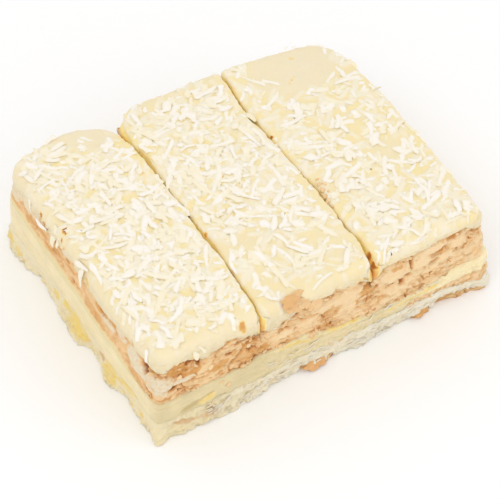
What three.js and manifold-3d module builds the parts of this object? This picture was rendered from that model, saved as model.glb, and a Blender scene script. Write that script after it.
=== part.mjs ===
// A slab of mille feuille, scored into three strips: five layers under three icing strips
// strewn with coconut shreds. Millimetres, +Z up. The slab is drawn about the middle of its
// icing and then set with the middle of its bounding box over the origin, resting on z = 0.
// +X crosses the three strips, -Y is the end at which the strips show their short faces.

import * as THREE from 'three';
import { mergeVertices } from 'three/addons/utils/BufferGeometryUtils.js';
import Module from 'manifold-3d';

// ---- driving dimensions ----

const ICING_LENGTH = 130;        // across the three strips
const FRONT_EDGE = -51.5;        // short faces of the strips
const BACK_EDGE_LEFT = 56;       // the back edge runs slightly askew
const BACK_EDGE_RIGHT = 53;
const SIDE_SWELL = 1.9;          // how far the right-hand side swells between its corners
const CORNER_RADIUS = { frontLeft: 4, frontRight: 2.5, backRight: 12, backLeft: 10 };

const ICING_TOP = 41;            // height of the icing above the table
const CUTS = [-23.6, 20.7];      // middle of each score line, by x
const CUT_WIDTH = 1.8;           // between neighbouring icing strips
const CUT_DEPTH = 7;             // into the top pastry
const CUT_WANDER = 0.5;          // sideways drift of a score line
const OUTER_SHOULDER = 4.2;      // rounding of the icing over the outside
const CUT_SHOULDER = 1.6;        // rounding of the icing beside a score line
const ICING_OVERHANG = 0.8;      // icing past the pastry below it
const ICING_HEM = 31.6;          // middle height of the icing's ragged lower edge
const ICING_DRIP_FLOOR = 27.5;   // lowest point that a drip reaches
const DROOP_REACH = 14;          // how far in from its corner a strip sinks
const SHOULDER_STEPS = [0, 0.12, 0.45, 1]; // steps over a rounded shoulder, as shares of it
const ICING_STEP = 8.5;          // between the grid lines of the icing's flat top
const LAYER_GAP = 0.3;           // between neighbouring layers

const BASE_FLARE_POWER = 0.6;    // how quickly the sides spread towards the table
const INNER_RING_SCALE = 0.8;    // flat heart of each layer, as a share of the outline
const COLUMN_STEP = 5.8;         // between the steps round the slab, on its straight sides
const CORNER_STEPS = 2;          // steps round each corner

// Heights of the layer boundaries, read round the slab. Each side lists its values from its
// first corner to its last, anticlockwise from the front left corner, evenly spaced.
const BOUNDARIES = {
  bottomPastryTop: {
    front: [2.8, 2.8, 2.6, 2.4, 3.2, 3.9], right: [3.9, 3.6], back: [3.6, 3, 3.2], left: [3, 2.8],
  },
  creamTop: {
    front: [9.3, 9.4, 9.4, 8.8, 8.4, 7.6], right: [7.6, 8.2], back: [8.2, 8.6, 9], left: [9, 9.2],
  },
  middlePastryTop: {
    front: [10.7, 10.9, 11, 10.6, 11.6, 12], right: [12, 12.2], back: [12.2, 12, 11], left: [11, 10.7],
  },
  custardTop: {
    front: [18.4, 19.4, 18.8, 20.4, 20, 16.6, 14.6, 13.6, 15.2, 16.8, 18.4],
    right: [18.4, 18, 18.6],
    back: [18.6, 18, 19, 20, 23],
    left: [23, 20.6, 20, 19, 18.2],
  },
  topPastryTop: {
    front: [31, 33, 31, 30.6, 32.2, 35, 33.4, 34, 34.6, 34.6, 33],
    right: [33, 34, 33],
    back: [33, 33.4, 32.4, 33],
    left: [33, 33.2, 31.6, 31.4, 30.8],
  },
};

// How far the table end of the wall stands out past the icing, read round the slab.
const BASE_FLARE = {
  front: [2.8, 3.2, 2.6, 2.4, 2.8], right: [5.4, 3.8], back: [3.2, 2.6, 2.8], left: [2.8, 2.6],
};

// The middle pastry hides behind the fillings at the front left and shows at the right.
const MIDDLE_PASTRY_RECESS = {
  front: [2.2, 2.4, 2, 1.4, 0, 0], right: [0, 0], back: [0, 0.8, 1.6], left: [2, 2.2],
};

// Filling squeezed out at the foot of the slab: side, place along it (0 to 1), width, reach.
const SQUEEZED_BLOBS = [
  { side: 'left', along: 0.06, width: 9, reach: 1.6 },
  { side: 'left', along: 0.5, width: 10, reach: 3 },
  { side: 'left', along: 0.73, width: 12, reach: 2.6 },
  { side: 'front', along: 0.28, width: 12, reach: 1.2 },
  { side: 'right', along: 0.35, width: 14, reach: 1.2 },
  { side: 'back', along: 0.6, width: 16, reach: 1.2 },
];

const COCONUT = {
  shredsPerStrip: 40,
  width: [1.5, 2.3],
  length: [5.5, 15],
  thickness: 0.9,
  proud: 0.55,                   // how much of the thickness stands above the icing
  endWidth: 0.75,                // of a shred's ends, as a share of its width
  bend: 0.9,                     // most that a shred turns along its length, in radians
  edgeClearance: 2.2,
  spacing: 0.165,                // least distance between two shreds, by their joint length
  mostAttempts: 4000,
};

const COLOURS = {
  icing: 0xf3e6c6,
  pastry: 0xe6bd84,
  custard: 0xecd9a8,
  cream: 0xe2d6b4,
  crust: 0xc79a5e,
};

// ---- helpers ----

const wasm = await Module();
wasm.setup();

/** A seeded random source, giving numbers from 0 to 1. */
function randomSource(seed) {
  let state = seed;
  return () => {
    state = (state + 0x6d2b79f5) | 0;
    let mixed = Math.imul(state ^ (state >>> 15), 1 | state);
    mixed = (mixed + Math.imul(mixed ^ (mixed >>> 7), 61 | mixed)) ^ mixed;
    return ((mixed ^ (mixed >>> 14)) >>> 0) / 4294967296;
  };
}

const between = ([low, high], share) => low + (high - low) * share;

/** A geometry from a list of points and the corners of its triangles. */
function geometryOf(points, faces) {
  const geometry = new THREE.BufferGeometry();
  const positions = points.flatMap((point) => [point.x, point.y, point.z]);
  geometry.setAttribute('position', new THREE.Float32BufferAttribute(positions, 3));
  geometry.setIndex(faces);
  return geometry;
}

/** A solid from a three.js geometry, for joining and cutting. */
function toSolid(geometry) {
  const plain = geometry.clone();
  plain.deleteAttribute('normal');
  plain.deleteAttribute('uv');
  const merged = mergeVertices(plain, 1e-4);
  const vertProperties = new Float32Array(merged.attributes.position.array);
  const triVerts = new Uint32Array(merged.index.array);
  return new wasm.Manifold(new wasm.Mesh({ numProp: 3, vertProperties, triVerts }));
}

/** The largest connected body of a solid, as a three.js geometry. */
function toGeometry(solid) {
  const bodies = solid.decompose();
  bodies.sort((one, other) => other.volume() - one.volume());
  const mesh = bodies[0].getMesh();
  const geometry = new THREE.BufferGeometry();
  geometry.setAttribute('position', new THREE.BufferAttribute(new Float32Array(mesh.vertProperties), 3));
  geometry.setIndex(Array.from(mesh.triVerts));
  geometry.computeVertexNormals();
  return geometry;
}

/**
 * A closed geometry from rings of equal length, the first and last ones filled in. The first
 * band is split along the other diagonal, so that it matches the last band of the layer below.
 */
function stackRings(rings) {
  const count = rings[0].length;
  const faces = [];
  for (let level = 0; level + 1 < rings.length; level += 1) {
    for (let column = 0; column < count; column += 1) {
      const here = level * count + column;
      const next = level * count + ((column + 1) % count);
      if (level === 0) {
        faces.push(here, next, here + count, next, next + count, here + count);
      } else {
        faces.push(here, next, next + count, here, next + count, here + count);
      }
    }
  }
  const flat = (ring) => ring.map((point) => new THREE.Vector2(point.x, point.y));
  const lastRing = (rings.length - 1) * count;
  for (const [a, b, c] of THREE.ShapeUtils.triangulateShape(flat(rings[0]), [])) {
    faces.push(c, b, a);
    faces.push(lastRing + a, lastRing + b, lastRing + c);
  }
  return geometryOf(rings.flat(), faces);
}

// ---- the outline of the slab ----

const halfLength = ICING_LENGTH / 2;

/** The plan of the slab under the icing, anticlockwise from the front left corner. */
function slabOutline() {
  const { frontLeft, frontRight, backRight, backLeft } = CORNER_RADIUS;
  const path = new THREE.Path();
  path.moveTo(-halfLength + frontLeft, FRONT_EDGE);
  path.lineTo(halfLength - frontRight, FRONT_EDGE);
  path.quadraticCurveTo(halfLength, FRONT_EDGE, halfLength, FRONT_EDGE + frontRight);
  path.quadraticCurveTo(halfLength + 2 * SIDE_SWELL, 0, halfLength, BACK_EDGE_RIGHT - backRight);
  path.quadraticCurveTo(halfLength, BACK_EDGE_RIGHT, halfLength - backRight, BACK_EDGE_RIGHT);
  path.lineTo(-halfLength + backLeft, BACK_EDGE_LEFT);
  path.quadraticCurveTo(-halfLength, BACK_EDGE_LEFT, -halfLength, BACK_EDGE_LEFT - backLeft);
  path.lineTo(-halfLength, FRONT_EDGE + frontLeft);
  path.quadraticCurveTo(-halfLength, FRONT_EDGE, -halfLength + frontLeft, FRONT_EDGE);
  return path;
}

/** The steps round the slab: where each stands, which way is out, and how far round it is. */
function slabColumns() {
  const path = slabOutline();
  const spots = path.curves.flatMap((curve) => {
    const corner = curve.getLength() < 3 * COLUMN_STEP && curve.isQuadraticBezierCurve;
    const steps = corner ? CORNER_STEPS : Math.round(curve.getLength() / COLUMN_STEP);
    return curve.getSpacedPoints(steps).slice(0, steps);
  });
  let travelled = 0;
  return spots.map((spot, index) => {
    const before = spots[(index + spots.length - 1) % spots.length];
    const after = spots[(index + 1) % spots.length];
    const along = after.clone().sub(before).normalize();
    travelled += index === 0 ? 0 : spot.distanceTo(before);
    return { spot, index, out: new THREE.Vector2(along.y, -along.x), turn: travelled / path.getLength() };
  });
}

const columns = slabColumns();
const outlineLength = slabOutline().getLength();

/** Where each side starts and ends, as shares of the way round. */
const sideSpan = (() => {
  const front = ICING_LENGTH / outlineLength;
  const right = (BACK_EDGE_RIGHT - FRONT_EDGE) / outlineLength;
  const corner = front + right - CORNER_RADIUS.backRight / 2 / outlineLength;
  return {
    front: [0, front],
    right: [front, corner],
    back: [corner, corner + front],
    left: [corner + front, 1],
  };
})();

/** A value read round the slab from a table of its four sides, eased between entries. */
function readRound(sides, turn) {
  for (const [side, [start, end]] of Object.entries(sideSpan)) {
    if (turn >= start && turn < end) {
      const entries = sides[side].concat(side === 'left' ? sides.front[0] : []);
      const place = ((turn - start) / (end - start)) * (entries.length - 1);
      const index = Math.min(Math.floor(place), entries.length - 2);
      const share = 0.5 - 0.5 * Math.cos(Math.PI * (place - index));
      return entries[index] + (entries[index + 1] - entries[index]) * share;
    }
  }
  return sides.front[0];
}

const averageRound = (sides) =>
  columns.reduce((sum, column) => sum + readRound(sides, column.turn), 0) / columns.length;

/** How far the wall spreads past the outline at a height, before any relief. */
function flare(turn, height) {
  const fall = Math.max(0, 1 - height / readRound(BOUNDARIES.topPastryTop, turn));
  return readRound(BASE_FLARE, turn) * fall ** BASE_FLARE_POWER;
}

/** The swelling of the squeezed-out filling at one step round the slab. */
function squeezedBlob(column) {
  let swell = 0;
  for (const blob of SQUEEZED_BLOBS) {
    const middle = between(sideSpan[blob.side], blob.along);
    const distance = Math.abs(column.turn - middle) * outlineLength;
    swell += blob.reach * Math.exp(-((distance / (blob.width / 2)) ** 2));
  }
  return swell;
}

// ---- the layers ----

/** Where a layer boundary meets the wall: both neighbours share this edge. */
function boundaryEdge(name, column) {
  const height = name ? readRound(BOUNDARIES[name], column.turn) : 0;
  const tucked = name === 'creamTop' || name === 'middlePastryTop';
  const recess = tucked ? readRound(MIDDLE_PASTRY_RECESS, column.turn) : 0;
  const blob = name === 'bottomPastryTop' ? squeezedBlob(column) * 0.5 : 0;
  return { height, reach: flare(column.turn, height) - recess + blob };
}

/**
 * A layer between two boundaries. relief(column, share, level) is how far the wall stands out
 * past the straight line between the layer's two edges, share being the way up the wall.
 */
function layerGeometry({ from, to, levels, relief, grown = 0 }) {
  const bottomGap = from ? LAYER_GAP / 2 : 0;
  const heartRing = (name, lift) => {
    const height = name ? averageRound(BOUNDARIES[name]) : 0;
    return columns.map(({ spot }) =>
      new THREE.Vector3(spot.x * INNER_RING_SCALE, spot.y * INNER_RING_SCALE, height + lift));
  };
  const rings = [heartRing(from, bottomGap)];
  for (let level = 0; level <= levels; level += 1) {
    const share = level / levels;
    rings.push(columns.map((column) => {
      const low = boundaryEdge(from, column);
      const high = boundaryEdge(to, column);
      const bottom = low.height + bottomGap;
      const top = high.height - LAYER_GAP / 2 + grown;
      const atEdge = level === 0 || level === levels;
      const standOut = atEdge ? 0 : relief(column, share, level);
      const reach = between([low.reach, high.reach], share) + standOut + grown;
      return new THREE.Vector3(
        column.spot.x + column.out.x * reach,
        column.spot.y + column.out.y * reach,
        between([bottom, top], share),
      );
    }));
  }
  rings.push(heartRing(to, grown - LAYER_GAP / 2));
  return stackRings(rings);
}

const MOST_LEVELS = 8;           // steps up the tallest wall, and one more

/** A ragged relief for baked pastry: thin leaves in and out, never past the icing. */
function leafRelief(seed, depth, outward) {
  const random = randomSource(seed);
  const table = Array.from({ length: MOST_LEVELS }, () => columns.map(() => random()));
  return (column, share, level) => {
    const ragged = table[level][column.index];
    const leaf = level % 2 === 0 ? outward : -outward * 0.6;
    return leaf + depth * (ragged - 0.75);
  };
}

/** A soft relief for fillings: a swelling in the middle with slow waves along it. */
function fillingRelief(seed, swell, roughness) {
  const random = randomSource(seed);
  const phases = [random(), random(), random()].map((share) => share * 2 * Math.PI);
  const table = Array.from({ length: MOST_LEVELS }, () => columns.map(() => random() - 0.5));
  return (column, share, level) => {
    const round = column.turn * 2 * Math.PI;
    const wave = Math.sin(7 * round + phases[0]) + 0.7 * Math.sin(13 * round + phases[1] + 2 * share);
    const grain = table[level][column.index];
    return Math.sin(Math.PI * share) * (swell + 0.25 * swell * wave) + roughness * grain;
  };
}

const creamSwell = fillingRelief(41, 0.8, 0.8);

const LAYERS = {
  pastry_bottom: {
    to: 'bottomPastryTop',
    levels: 2,
    colour: COLOURS.crust,
    relief: leafRelief(11, 1.6, 0.5),
  },
  cream: {
    from: 'bottomPastryTop',
    to: 'creamTop',
    levels: 4,
    colour: COLOURS.cream,
    relief: (column, share, level) =>
      creamSwell(column, share, level) + squeezedBlob(column) * Math.sin(Math.PI * (0.25 + 0.6 * share)),
  },
  pastry_middle: {
    from: 'creamTop',
    to: 'middlePastryTop',
    levels: 2,
    colour: COLOURS.pastry,
    relief: leafRelief(23, 0.9, 0.4),
  },
  custard: {
    from: 'middlePastryTop',
    to: 'custardTop',
    levels: 4,
    colour: COLOURS.custard,
    relief: fillingRelief(31, 1, 0.3),
  },
  pastry_top: {
    from: 'custardTop',
    to: 'topPastryTop',
    levels: 7,
    colour: COLOURS.pastry,
    relief: leafRelief(57, 1.5, 0.45),
  },
};

// ---- the score lines ----

/** Sideways drift of a score line at a distance along it. */
const cutDrift = (y, cut) => CUT_WANDER * Math.sin(y / 17 + cut);

/** A wedge along a score line that reaches into the top pastry. */
function scoreWedge(cut) {
  const stations = 9;
  const reach = BACK_EDGE_LEFT - FRONT_EDGE + 20;
  const floor = averageRound(BOUNDARIES.topPastryTop) - CUT_DEPTH;
  const rings = [];
  const profile = [[-0.25, 0], [0.25, 0], [0.6, 0.6], [0.6, 2.4], [-0.6, 2.4], [-0.6, 0.6]];
  for (let station = 0; station <= stations; station += 1) {
    const y = FRONT_EDGE - 10 + (reach * station) / stations;
    rings.push(profile.map(([across, up]) =>
      new THREE.Vector3(cut + cutDrift(y, cut) + across * CUT_WIDTH, y, floor + up * CUT_DEPTH)));
  }
  return loft(rings);
}

/** A closed geometry through equal sections, each turning left to right seen from the last. */
function loft(sections) {
  const count = sections[0].length;
  const faces = [];
  for (let index = 0; index + 1 < sections.length; index += 1) {
    for (let corner = 0; corner < count; corner += 1) {
      const here = index * count + corner;
      const next = index * count + ((corner + 1) % count);
      faces.push(here, next + count, next, here, here + count, next + count);
    }
  }
  const last = (sections.length - 1) * count;
  for (let corner = 1; corner + 1 < count; corner += 1) {
    faces.push(0, corner, corner + 1);
    faces.push(last, last + corner + 1, last + corner);
  }
  return geometryOf(sections.flat(), faces);
}

// ---- the icing ----

const STRIPS = {
  icing_left: { left: null, right: CUTS[0], backLeftRound: 10, backRightRound: 9, droop: 5, seed: 101 },
  icing_middle: { left: CUTS[0], right: CUTS[1], backLeftRound: 2, backRightRound: 2, droop: 0, seed: 202 },
  icing_right: { left: CUTS[1], right: null, backLeftRound: 3, backRightRound: 13, droop: 1.5, seed: 303 },
};

/** The left and right ends of a strip, and its back edge, by place. */
function stripEdges(strip) {
  const swellAt = (y) => SIDE_SWELL * Math.cos(((y - 2) / 54) * (Math.PI / 2));
  const backAt = (x) =>
    between([BACK_EDGE_LEFT, BACK_EDGE_RIGHT], (x + halfLength) / ICING_LENGTH) + ICING_OVERHANG;
  const leftAt = (y) => (strip.left === null
    ? -halfLength - ICING_OVERHANG
    : strip.left + cutDrift(y, strip.left) + CUT_WIDTH / 2);
  const rightAt = (y) => (strip.right === null
    ? halfLength + ICING_OVERHANG + swellAt(y)
    : strip.right + cutDrift(y, strip.right) - CUT_WIDTH / 2);
  return { leftAt, rightAt, backAt };
}

/** How far a round corner pulls an edge in, at a distance from the corner's end. */
const cornerInset = (radius, distance) =>
  (distance >= radius ? 0 : radius - Math.sqrt(radius ** 2 - (radius - distance) ** 2));

/** How far a rounded shoulder lies below the top, at a distance from the edge. */
const shoulderDrop = (radius, distance) => cornerInset(radius, Math.max(0, distance));

/** Slow waves of the icing's surface. */
const icingWaves = (x, y) =>
  0.45 * Math.sin(x / 9 + 1.3) * Math.sin(y / 13 + 0.4) + 0.35 * Math.sin(x / 17 - y / 11);

/** How far the lower edge of the icing hangs or lifts, by place along the outside. */
const dripWave = (x, y) =>
  1.4 * Math.sin(x / 4.1 + y / 5.3) + 1.1 * Math.sin(x / 7.7 - y / 6.1 + 1) + 0.8 * Math.sin(x / 2.3 + 2);

/** The middle of the icing's top over a strip, with the drooping back right corner. */
function icingHeight(strip, x, y) {
  const { rightAt, backAt } = stripEdges(strip);
  const fromCorner = Math.hypot(rightAt(y) - x, backAt(x) - y);
  const droop = strip.droop * Math.exp(-((fromCorner / DROOP_REACH) ** 2));
  return ICING_TOP + icingWaves(x, y) - droop;
}

/** Places across a span: close together at both rounded ends, even between. */
function spread(length, shoulder) {
  const ends = SHOULDER_STEPS.map((share) => share * shoulder);
  const inner = Math.round((length - 2 * shoulder) / ICING_STEP);
  const middle = Array.from({ length: inner - 1 }, (_, index) =>
    shoulder + ((length - 2 * shoulder) * (index + 1)) / inner);
  return [...ends, ...middle, ...ends.map((end) => length - end).reverse()];
}

/** One strip of icing, with its rounded shoulders and ragged lower edge, over its pastry. */
function stripGeometry(strip) {
  const { leftAt, rightAt, backAt } = stripEdges(strip);
  const frontY = FRONT_EDGE - ICING_OVERHANG;
  const leftShoulder = strip.left === null ? OUTER_SHOULDER : CUT_SHOULDER;
  const rightShoulder = strip.right === null ? OUTER_SHOULDER : CUT_SHOULDER;
  const width = rightAt(0) - leftAt(0);
  const acrossPlaces = spread(width, Math.max(leftShoulder, rightShoulder)).map((place) => place / width);
  const rows = spread(backAt(leftAt(0)) - frontY, OUTER_SHOULDER);
  const depth = rows[rows.length - 1];
  const grid = rows.map((row) => {
    const fromBack = depth - row;
    const insetLeft = cornerInset(strip.backLeftRound, fromBack);
    const insetRight = cornerInset(strip.backRightRound, fromBack);
    return acrossPlaces.map((share) => {
      const flatY = frontY + row;
      const left = leftAt(flatY) + insetLeft;
      const right = rightAt(flatY) - insetRight;
      const x = between([left, right], share);
      const y = frontY + (row / depth) * (backAt(x) - frontY);
      const drop = Math.max(
        shoulderDrop(leftShoulder, x - left),
        shoulderDrop(rightShoulder, right - x),
        shoulderDrop(OUTER_SHOULDER, row),
        shoulderDrop(OUTER_SHOULDER, fromBack),
      );
      return new THREE.Vector3(x, y, icingHeight(strip, x, y) - drop);
    });
  });
  return closeGrid(grid, (point) => Math.max(ICING_DRIP_FLOOR, ICING_HEM + dripWave(point.x, point.y)));
}

/** A closed geometry under a grid of top points, its walls ending at floorAt(point). */
function closeGrid(grid, floorAt) {
  const rowCount = grid.length;
  const columnCount = grid[0].length;
  const rim = [];
  for (let column = 0; column < columnCount; column += 1) rim.push([0, column]);
  for (let row = 1; row < rowCount; row += 1) rim.push([row, columnCount - 1]);
  for (let column = columnCount - 2; column >= 0; column -= 1) rim.push([rowCount - 1, column]);
  for (let row = rowCount - 2; row > 0; row -= 1) rim.push([row, 0]);
  const points = grid.flat();
  const faces = [];
  for (let row = 0; row + 1 < rowCount; row += 1) {
    for (let column = 0; column + 1 < columnCount; column += 1) {
      const here = row * columnCount + column;
      const above = here + columnCount;
      faces.push(here, here + 1, above + 1, here, above + 1, above);
    }
  }
  const firstFloor = points.length;
  for (const [row, column] of rim) {
    const point = grid[row][column];
    points.push(new THREE.Vector3(point.x, point.y, floorAt(point)));
  }
  rim.forEach(([row, column], index) => {
    const [nextRow, nextColumn] = rim[(index + 1) % rim.length];
    const top = row * columnCount + column;
    const nextTop = nextRow * columnCount + nextColumn;
    const floor = firstFloor + index;
    const nextFloor = firstFloor + ((index + 1) % rim.length);
    faces.push(floor, nextFloor, nextTop, floor, nextTop, top);
  });
  const rimOutline = rim.map(([row, column]) => new THREE.Vector2(grid[row][column].x, grid[row][column].y));
  for (const [a, b, c] of THREE.ShapeUtils.triangulateShape(rimOutline, [])) {
    faces.push(firstFloor + c, firstFloor + b, firstFloor + a);
  }
  return geometryOf(points, faces);
}

// ---- the coconut ----

/** How thickly the coconut lies at a place, from 0 to 1. */
function coconutCover(x, y) {
  const along = (y - FRONT_EDGE) / (BACK_EDGE_LEFT - FRONT_EDGE);
  const patch = 0.5 + 0.5 * Math.sin(x / 8.3 + 1) * Math.sin(y / 10.1 + 2);
  if (x < CUTS[0]) {
    return (along > 0.1 && along < 0.93 ? 0.95 : 0.25);
  }
  if (x < CUTS[1]) {
    return (along > 0.2 && along < 0.88 ? 0.85 : 0.4) - 0.2 * patch;
  }
  return (along < 0.72 ? 0.85 : 0.12) - 0.2 * patch;
}

/** One flat shred of coconut lying on the icing: a strip that bends as it goes. */
function shredGeometry(strip, { x, y, heading, length, width, bend }) {
  const sections = [-0.5, 0, 0.5].map((share) => {
    const angle = heading + bend * share;
    const chord = heading + (bend * share) / 2;
    const middleX = x + length * share * Math.cos(chord);
    const middleY = y + length * share * Math.sin(chord);
    const half = (width / 2) * (share === 0 ? 1 : COCONUT.endWidth);
    const top = icingHeight(strip, middleX, middleY) + COCONUT.proud;
    const corner = (side, drop) => new THREE.Vector3(
      middleX - side * half * Math.sin(angle),
      middleY + side * half * Math.cos(angle),
      top - drop,
    );
    const { thickness } = COCONUT;
    return [corner(1, thickness), corner(-1, thickness), corner(-1, 0), corner(1, 0)];
  });
  return loft(sections);
}

/** The shreds of one strip, the longest first, thicker where the cover is. */
function stripShreds(strip) {
  const random = randomSource(strip.seed);
  const { leftAt, rightAt, backAt } = stripEdges(strip);
  const shreds = [];
  const placed = [];
  const wanted = COCONUT.shredsPerStrip;
  for (let attempt = 0; shreds.length < wanted && attempt < COCONUT.mostAttempts; attempt += 1) {
    const shorter = Math.sqrt(shreds.length / wanted);
    const length = between([COCONUT.length[1], COCONUT.length[0]], shorter) * (0.85 + 0.3 * random());
    const width = between(COCONUT.width, random());
    const y = between([FRONT_EDGE, BACK_EDGE_LEFT], random());
    const x = between([leftAt(y), rightAt(y)], random());
    const heading = random() * Math.PI * 2;
    const bend = (random() - 0.5) * 2 * COCONUT.bend;
    const keep = random() < coconutCover(x, y);
    const reachX = (length / 2) * Math.abs(Math.cos(heading)) + COCONUT.edgeClearance;
    const reachY = (length / 2) * Math.abs(Math.sin(heading)) + COCONUT.edgeClearance;
    const roundBack = Math.max(strip.backLeftRound, strip.backRightRound) / 2;
    const inside = x - reachX > leftAt(y) && x + reachX < rightAt(y)
      && y - reachY > FRONT_EDGE && y + reachY < backAt(x) - roundBack;
    const crowded = placed.some((spot) =>
      Math.hypot(spot.x - x, spot.y - y) < COCONUT.spacing * (spot.length + length));
    if (keep && inside && !crowded) {
      placed.push({ x, y, length });
      shreds.push(shredGeometry(strip, { x, y, heading, length, width, bend }));
    }
  }
  return shreds;
}

// ---- assembly ----

const object = new THREE.Group();

function addMesh(name, geometry, colour, roughness) {
  const material = new THREE.MeshStandardMaterial({ color: colour, roughness, metalness: 0 });
  const mesh = new THREE.Mesh(geometry, material);
  mesh.name = name;
  object.add(mesh);
}

for (const [name, layer] of Object.entries(LAYERS)) {
  const geometry = layerGeometry(layer);
  if (name === 'pastry_top') {
    const scored = CUTS.reduce((solid, cut) => solid.subtract(toSolid(scoreWedge(cut))), toSolid(geometry));
    addMesh(name, toGeometry(scored), layer.colour, 0.85);
  } else {
    addMesh(name, geometry, layer.colour, name.startsWith('pastry') ? 0.85 : 0.45);
  }
}

const pastryWithGap = toSolid(layerGeometry({ ...LAYERS.pastry_top, grown: LAYER_GAP }));

for (const [name, strip] of Object.entries(STRIPS)) {
  let solid = toSolid(stripGeometry(strip)).subtract(pastryWithGap);
  for (const shred of stripShreds(strip)) {
    solid = solid.add(toSolid(shred));
  }
  addMesh(name, toGeometry(solid), COLOURS.icing, 0.4);
}

const extent = new THREE.Box3().setFromObject(object);
const middle = extent.getCenter(new THREE.Vector3());
object.position.set(-middle.x, -middle.y, -extent.min.z);

export default object;
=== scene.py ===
"""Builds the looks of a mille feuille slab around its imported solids.

The slab is five layers under three strips of icing: baked crust, whipped cream, thin pastry,
custard and flaky top pastry. Coconut shreds lie on the icing. Lengths are in millimetres
until a mesh is made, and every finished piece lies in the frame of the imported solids.
"""

import math
from contextlib import contextmanager
from functools import lru_cache, partial
from itertools import product

import bpy
import numpy as np
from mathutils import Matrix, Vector


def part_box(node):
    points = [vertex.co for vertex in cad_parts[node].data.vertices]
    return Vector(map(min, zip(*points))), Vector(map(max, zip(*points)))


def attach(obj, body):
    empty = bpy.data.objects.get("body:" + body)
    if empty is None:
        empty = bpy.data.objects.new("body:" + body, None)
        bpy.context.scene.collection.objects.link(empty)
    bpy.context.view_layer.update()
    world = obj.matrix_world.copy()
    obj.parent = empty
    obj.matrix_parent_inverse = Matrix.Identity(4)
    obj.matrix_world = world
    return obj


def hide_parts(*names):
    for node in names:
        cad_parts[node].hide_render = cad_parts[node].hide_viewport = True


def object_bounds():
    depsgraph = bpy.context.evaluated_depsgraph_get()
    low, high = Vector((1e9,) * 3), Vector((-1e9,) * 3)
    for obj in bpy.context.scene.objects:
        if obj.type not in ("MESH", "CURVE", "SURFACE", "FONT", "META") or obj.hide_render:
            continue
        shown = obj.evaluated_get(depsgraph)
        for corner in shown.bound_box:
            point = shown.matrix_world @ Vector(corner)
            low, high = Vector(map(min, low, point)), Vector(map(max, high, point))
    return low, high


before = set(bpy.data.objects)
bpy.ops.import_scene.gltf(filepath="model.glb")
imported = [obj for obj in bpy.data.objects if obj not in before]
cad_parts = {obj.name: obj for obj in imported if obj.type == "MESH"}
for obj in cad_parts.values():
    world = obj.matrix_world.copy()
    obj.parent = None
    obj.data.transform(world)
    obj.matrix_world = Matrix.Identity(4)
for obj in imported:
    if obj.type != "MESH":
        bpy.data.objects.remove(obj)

CAD_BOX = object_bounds()

bl_info = {
    "name": "Mille Feuille Slab",
    "version": (1, 0, 0),
    "blender": (4, 5, 0),
    "location": "View3D > Sidebar > Slab",
    "description": "Models and dresses a scored slab of mille feuille",
    "category": "Object",
}

MM = 0.001
UPWARDS = np.array([0, 0, 1.0])

# ---- sizes of the slab, as its solids have them ----

ICING_LENGTH = 130.0
HALF_LENGTH = ICING_LENGTH / 2
FRONT_EDGE = -51.5
BACK_EDGE_LEFT = 56.0
BACK_EDGE_RIGHT = 53.0
SIDE_SWELL = 1.9
CORNER_RADIUS = {"front_left": 4.0, "front_right": 2.5, "back_right": 12.0, "back_left": 10.0}
ICING_TOP = 41.0
CUTS = (-23.6, 20.7)
CUT_DEPTH = 7.0

# Wedge that scores the pastry: its section in widths and depths, its steps and its overrun.
WEDGE_PROFILE = ((-0.6, 2.2), (-0.55, 0.6), (-0.15, 0.0), (0.5, 0.5), (0.6, 2.2))
WEDGE_STEPS = 60
WEDGE_OVERRUN = 12

# Sideways drift and width of each score line, by distance along it.
CUT_DRIFT = {
    CUTS[0]: ((-54, -1.5), (-42, -1.1), (-30, -0.6), (-17, 0.2), (-8, 0.1), (2, 0.7), (12, 0.4),
              (24, 0.7), (31, 1), (40, 0), (46, 0.2), (51, 0.8), (56, 1.4)),
    CUTS[1]: ((-54, -1.2), (-48, -0.5), (-40, 0.6), (-33, -0.3), (-24, 0), (-14, 0.3), (-4, -0.4),
              (10, -0.5), (24, -0.7), (36, -0.9), (48, 0.4), (56, 0.6)),
}

CUT_OPENING = {
    CUTS[0]: ((-54, 1.1), (-46, 0.9), (-36, 0.7), (-28, 0.5), (-20, 1.1), (-13, 1.6), (-6, 0.9),
              (2, 0.8), (8, 0.3), (16, 0.2), (22, 1.1), (30, 1.5), (36, 1.2), (39, 0.3), (43, 1.4),
              (48, 2.4), (56, 3.6)),
    CUTS[1]: ((-54, 2.6), (-48, 2), (-43, 1.4), (-36, 0.8), (-26, 0.6), (-16, 0.9), (-8, 0.6),
              (4, 0.6), (14, 0.4), (22, 0.9), (26, 1.9), (30, 2.3), (33, 0.7), (42, 0.9), (48, 1.1),
              (56, 1.3)),
}

# The line of the back edge of the icing, from left to right.
BACK_LINE = (
    (-66, 55), (-54, 56.4), (-45, 57.8), (-38, 58.2), (-32, 57.4), (-24, 55), (-22.8, 55),
    (-22.4, 56.8), (-15.7, 57), (-4.5, 56.2), (10, 56.4), (18, 55.8), (28, 54.8), (37, 54), (51, 53),
    (66, 52.4),
)
ICING_OVERHANG = 0.8
DROOP_REACH = 14.0

# Thickness of one leaf of the flaky pastry.
LEAF_THICKNESS = 0.95

# Where a layer's hidden top and bottom close: scale of the outline, tucks and overlap.
HEART_SCALE = 0.8
HIDDEN_TUCK = 1.6
FLOOR_TUCK = 0.8
HIDDEN_OVERLAP = 0.35

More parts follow.
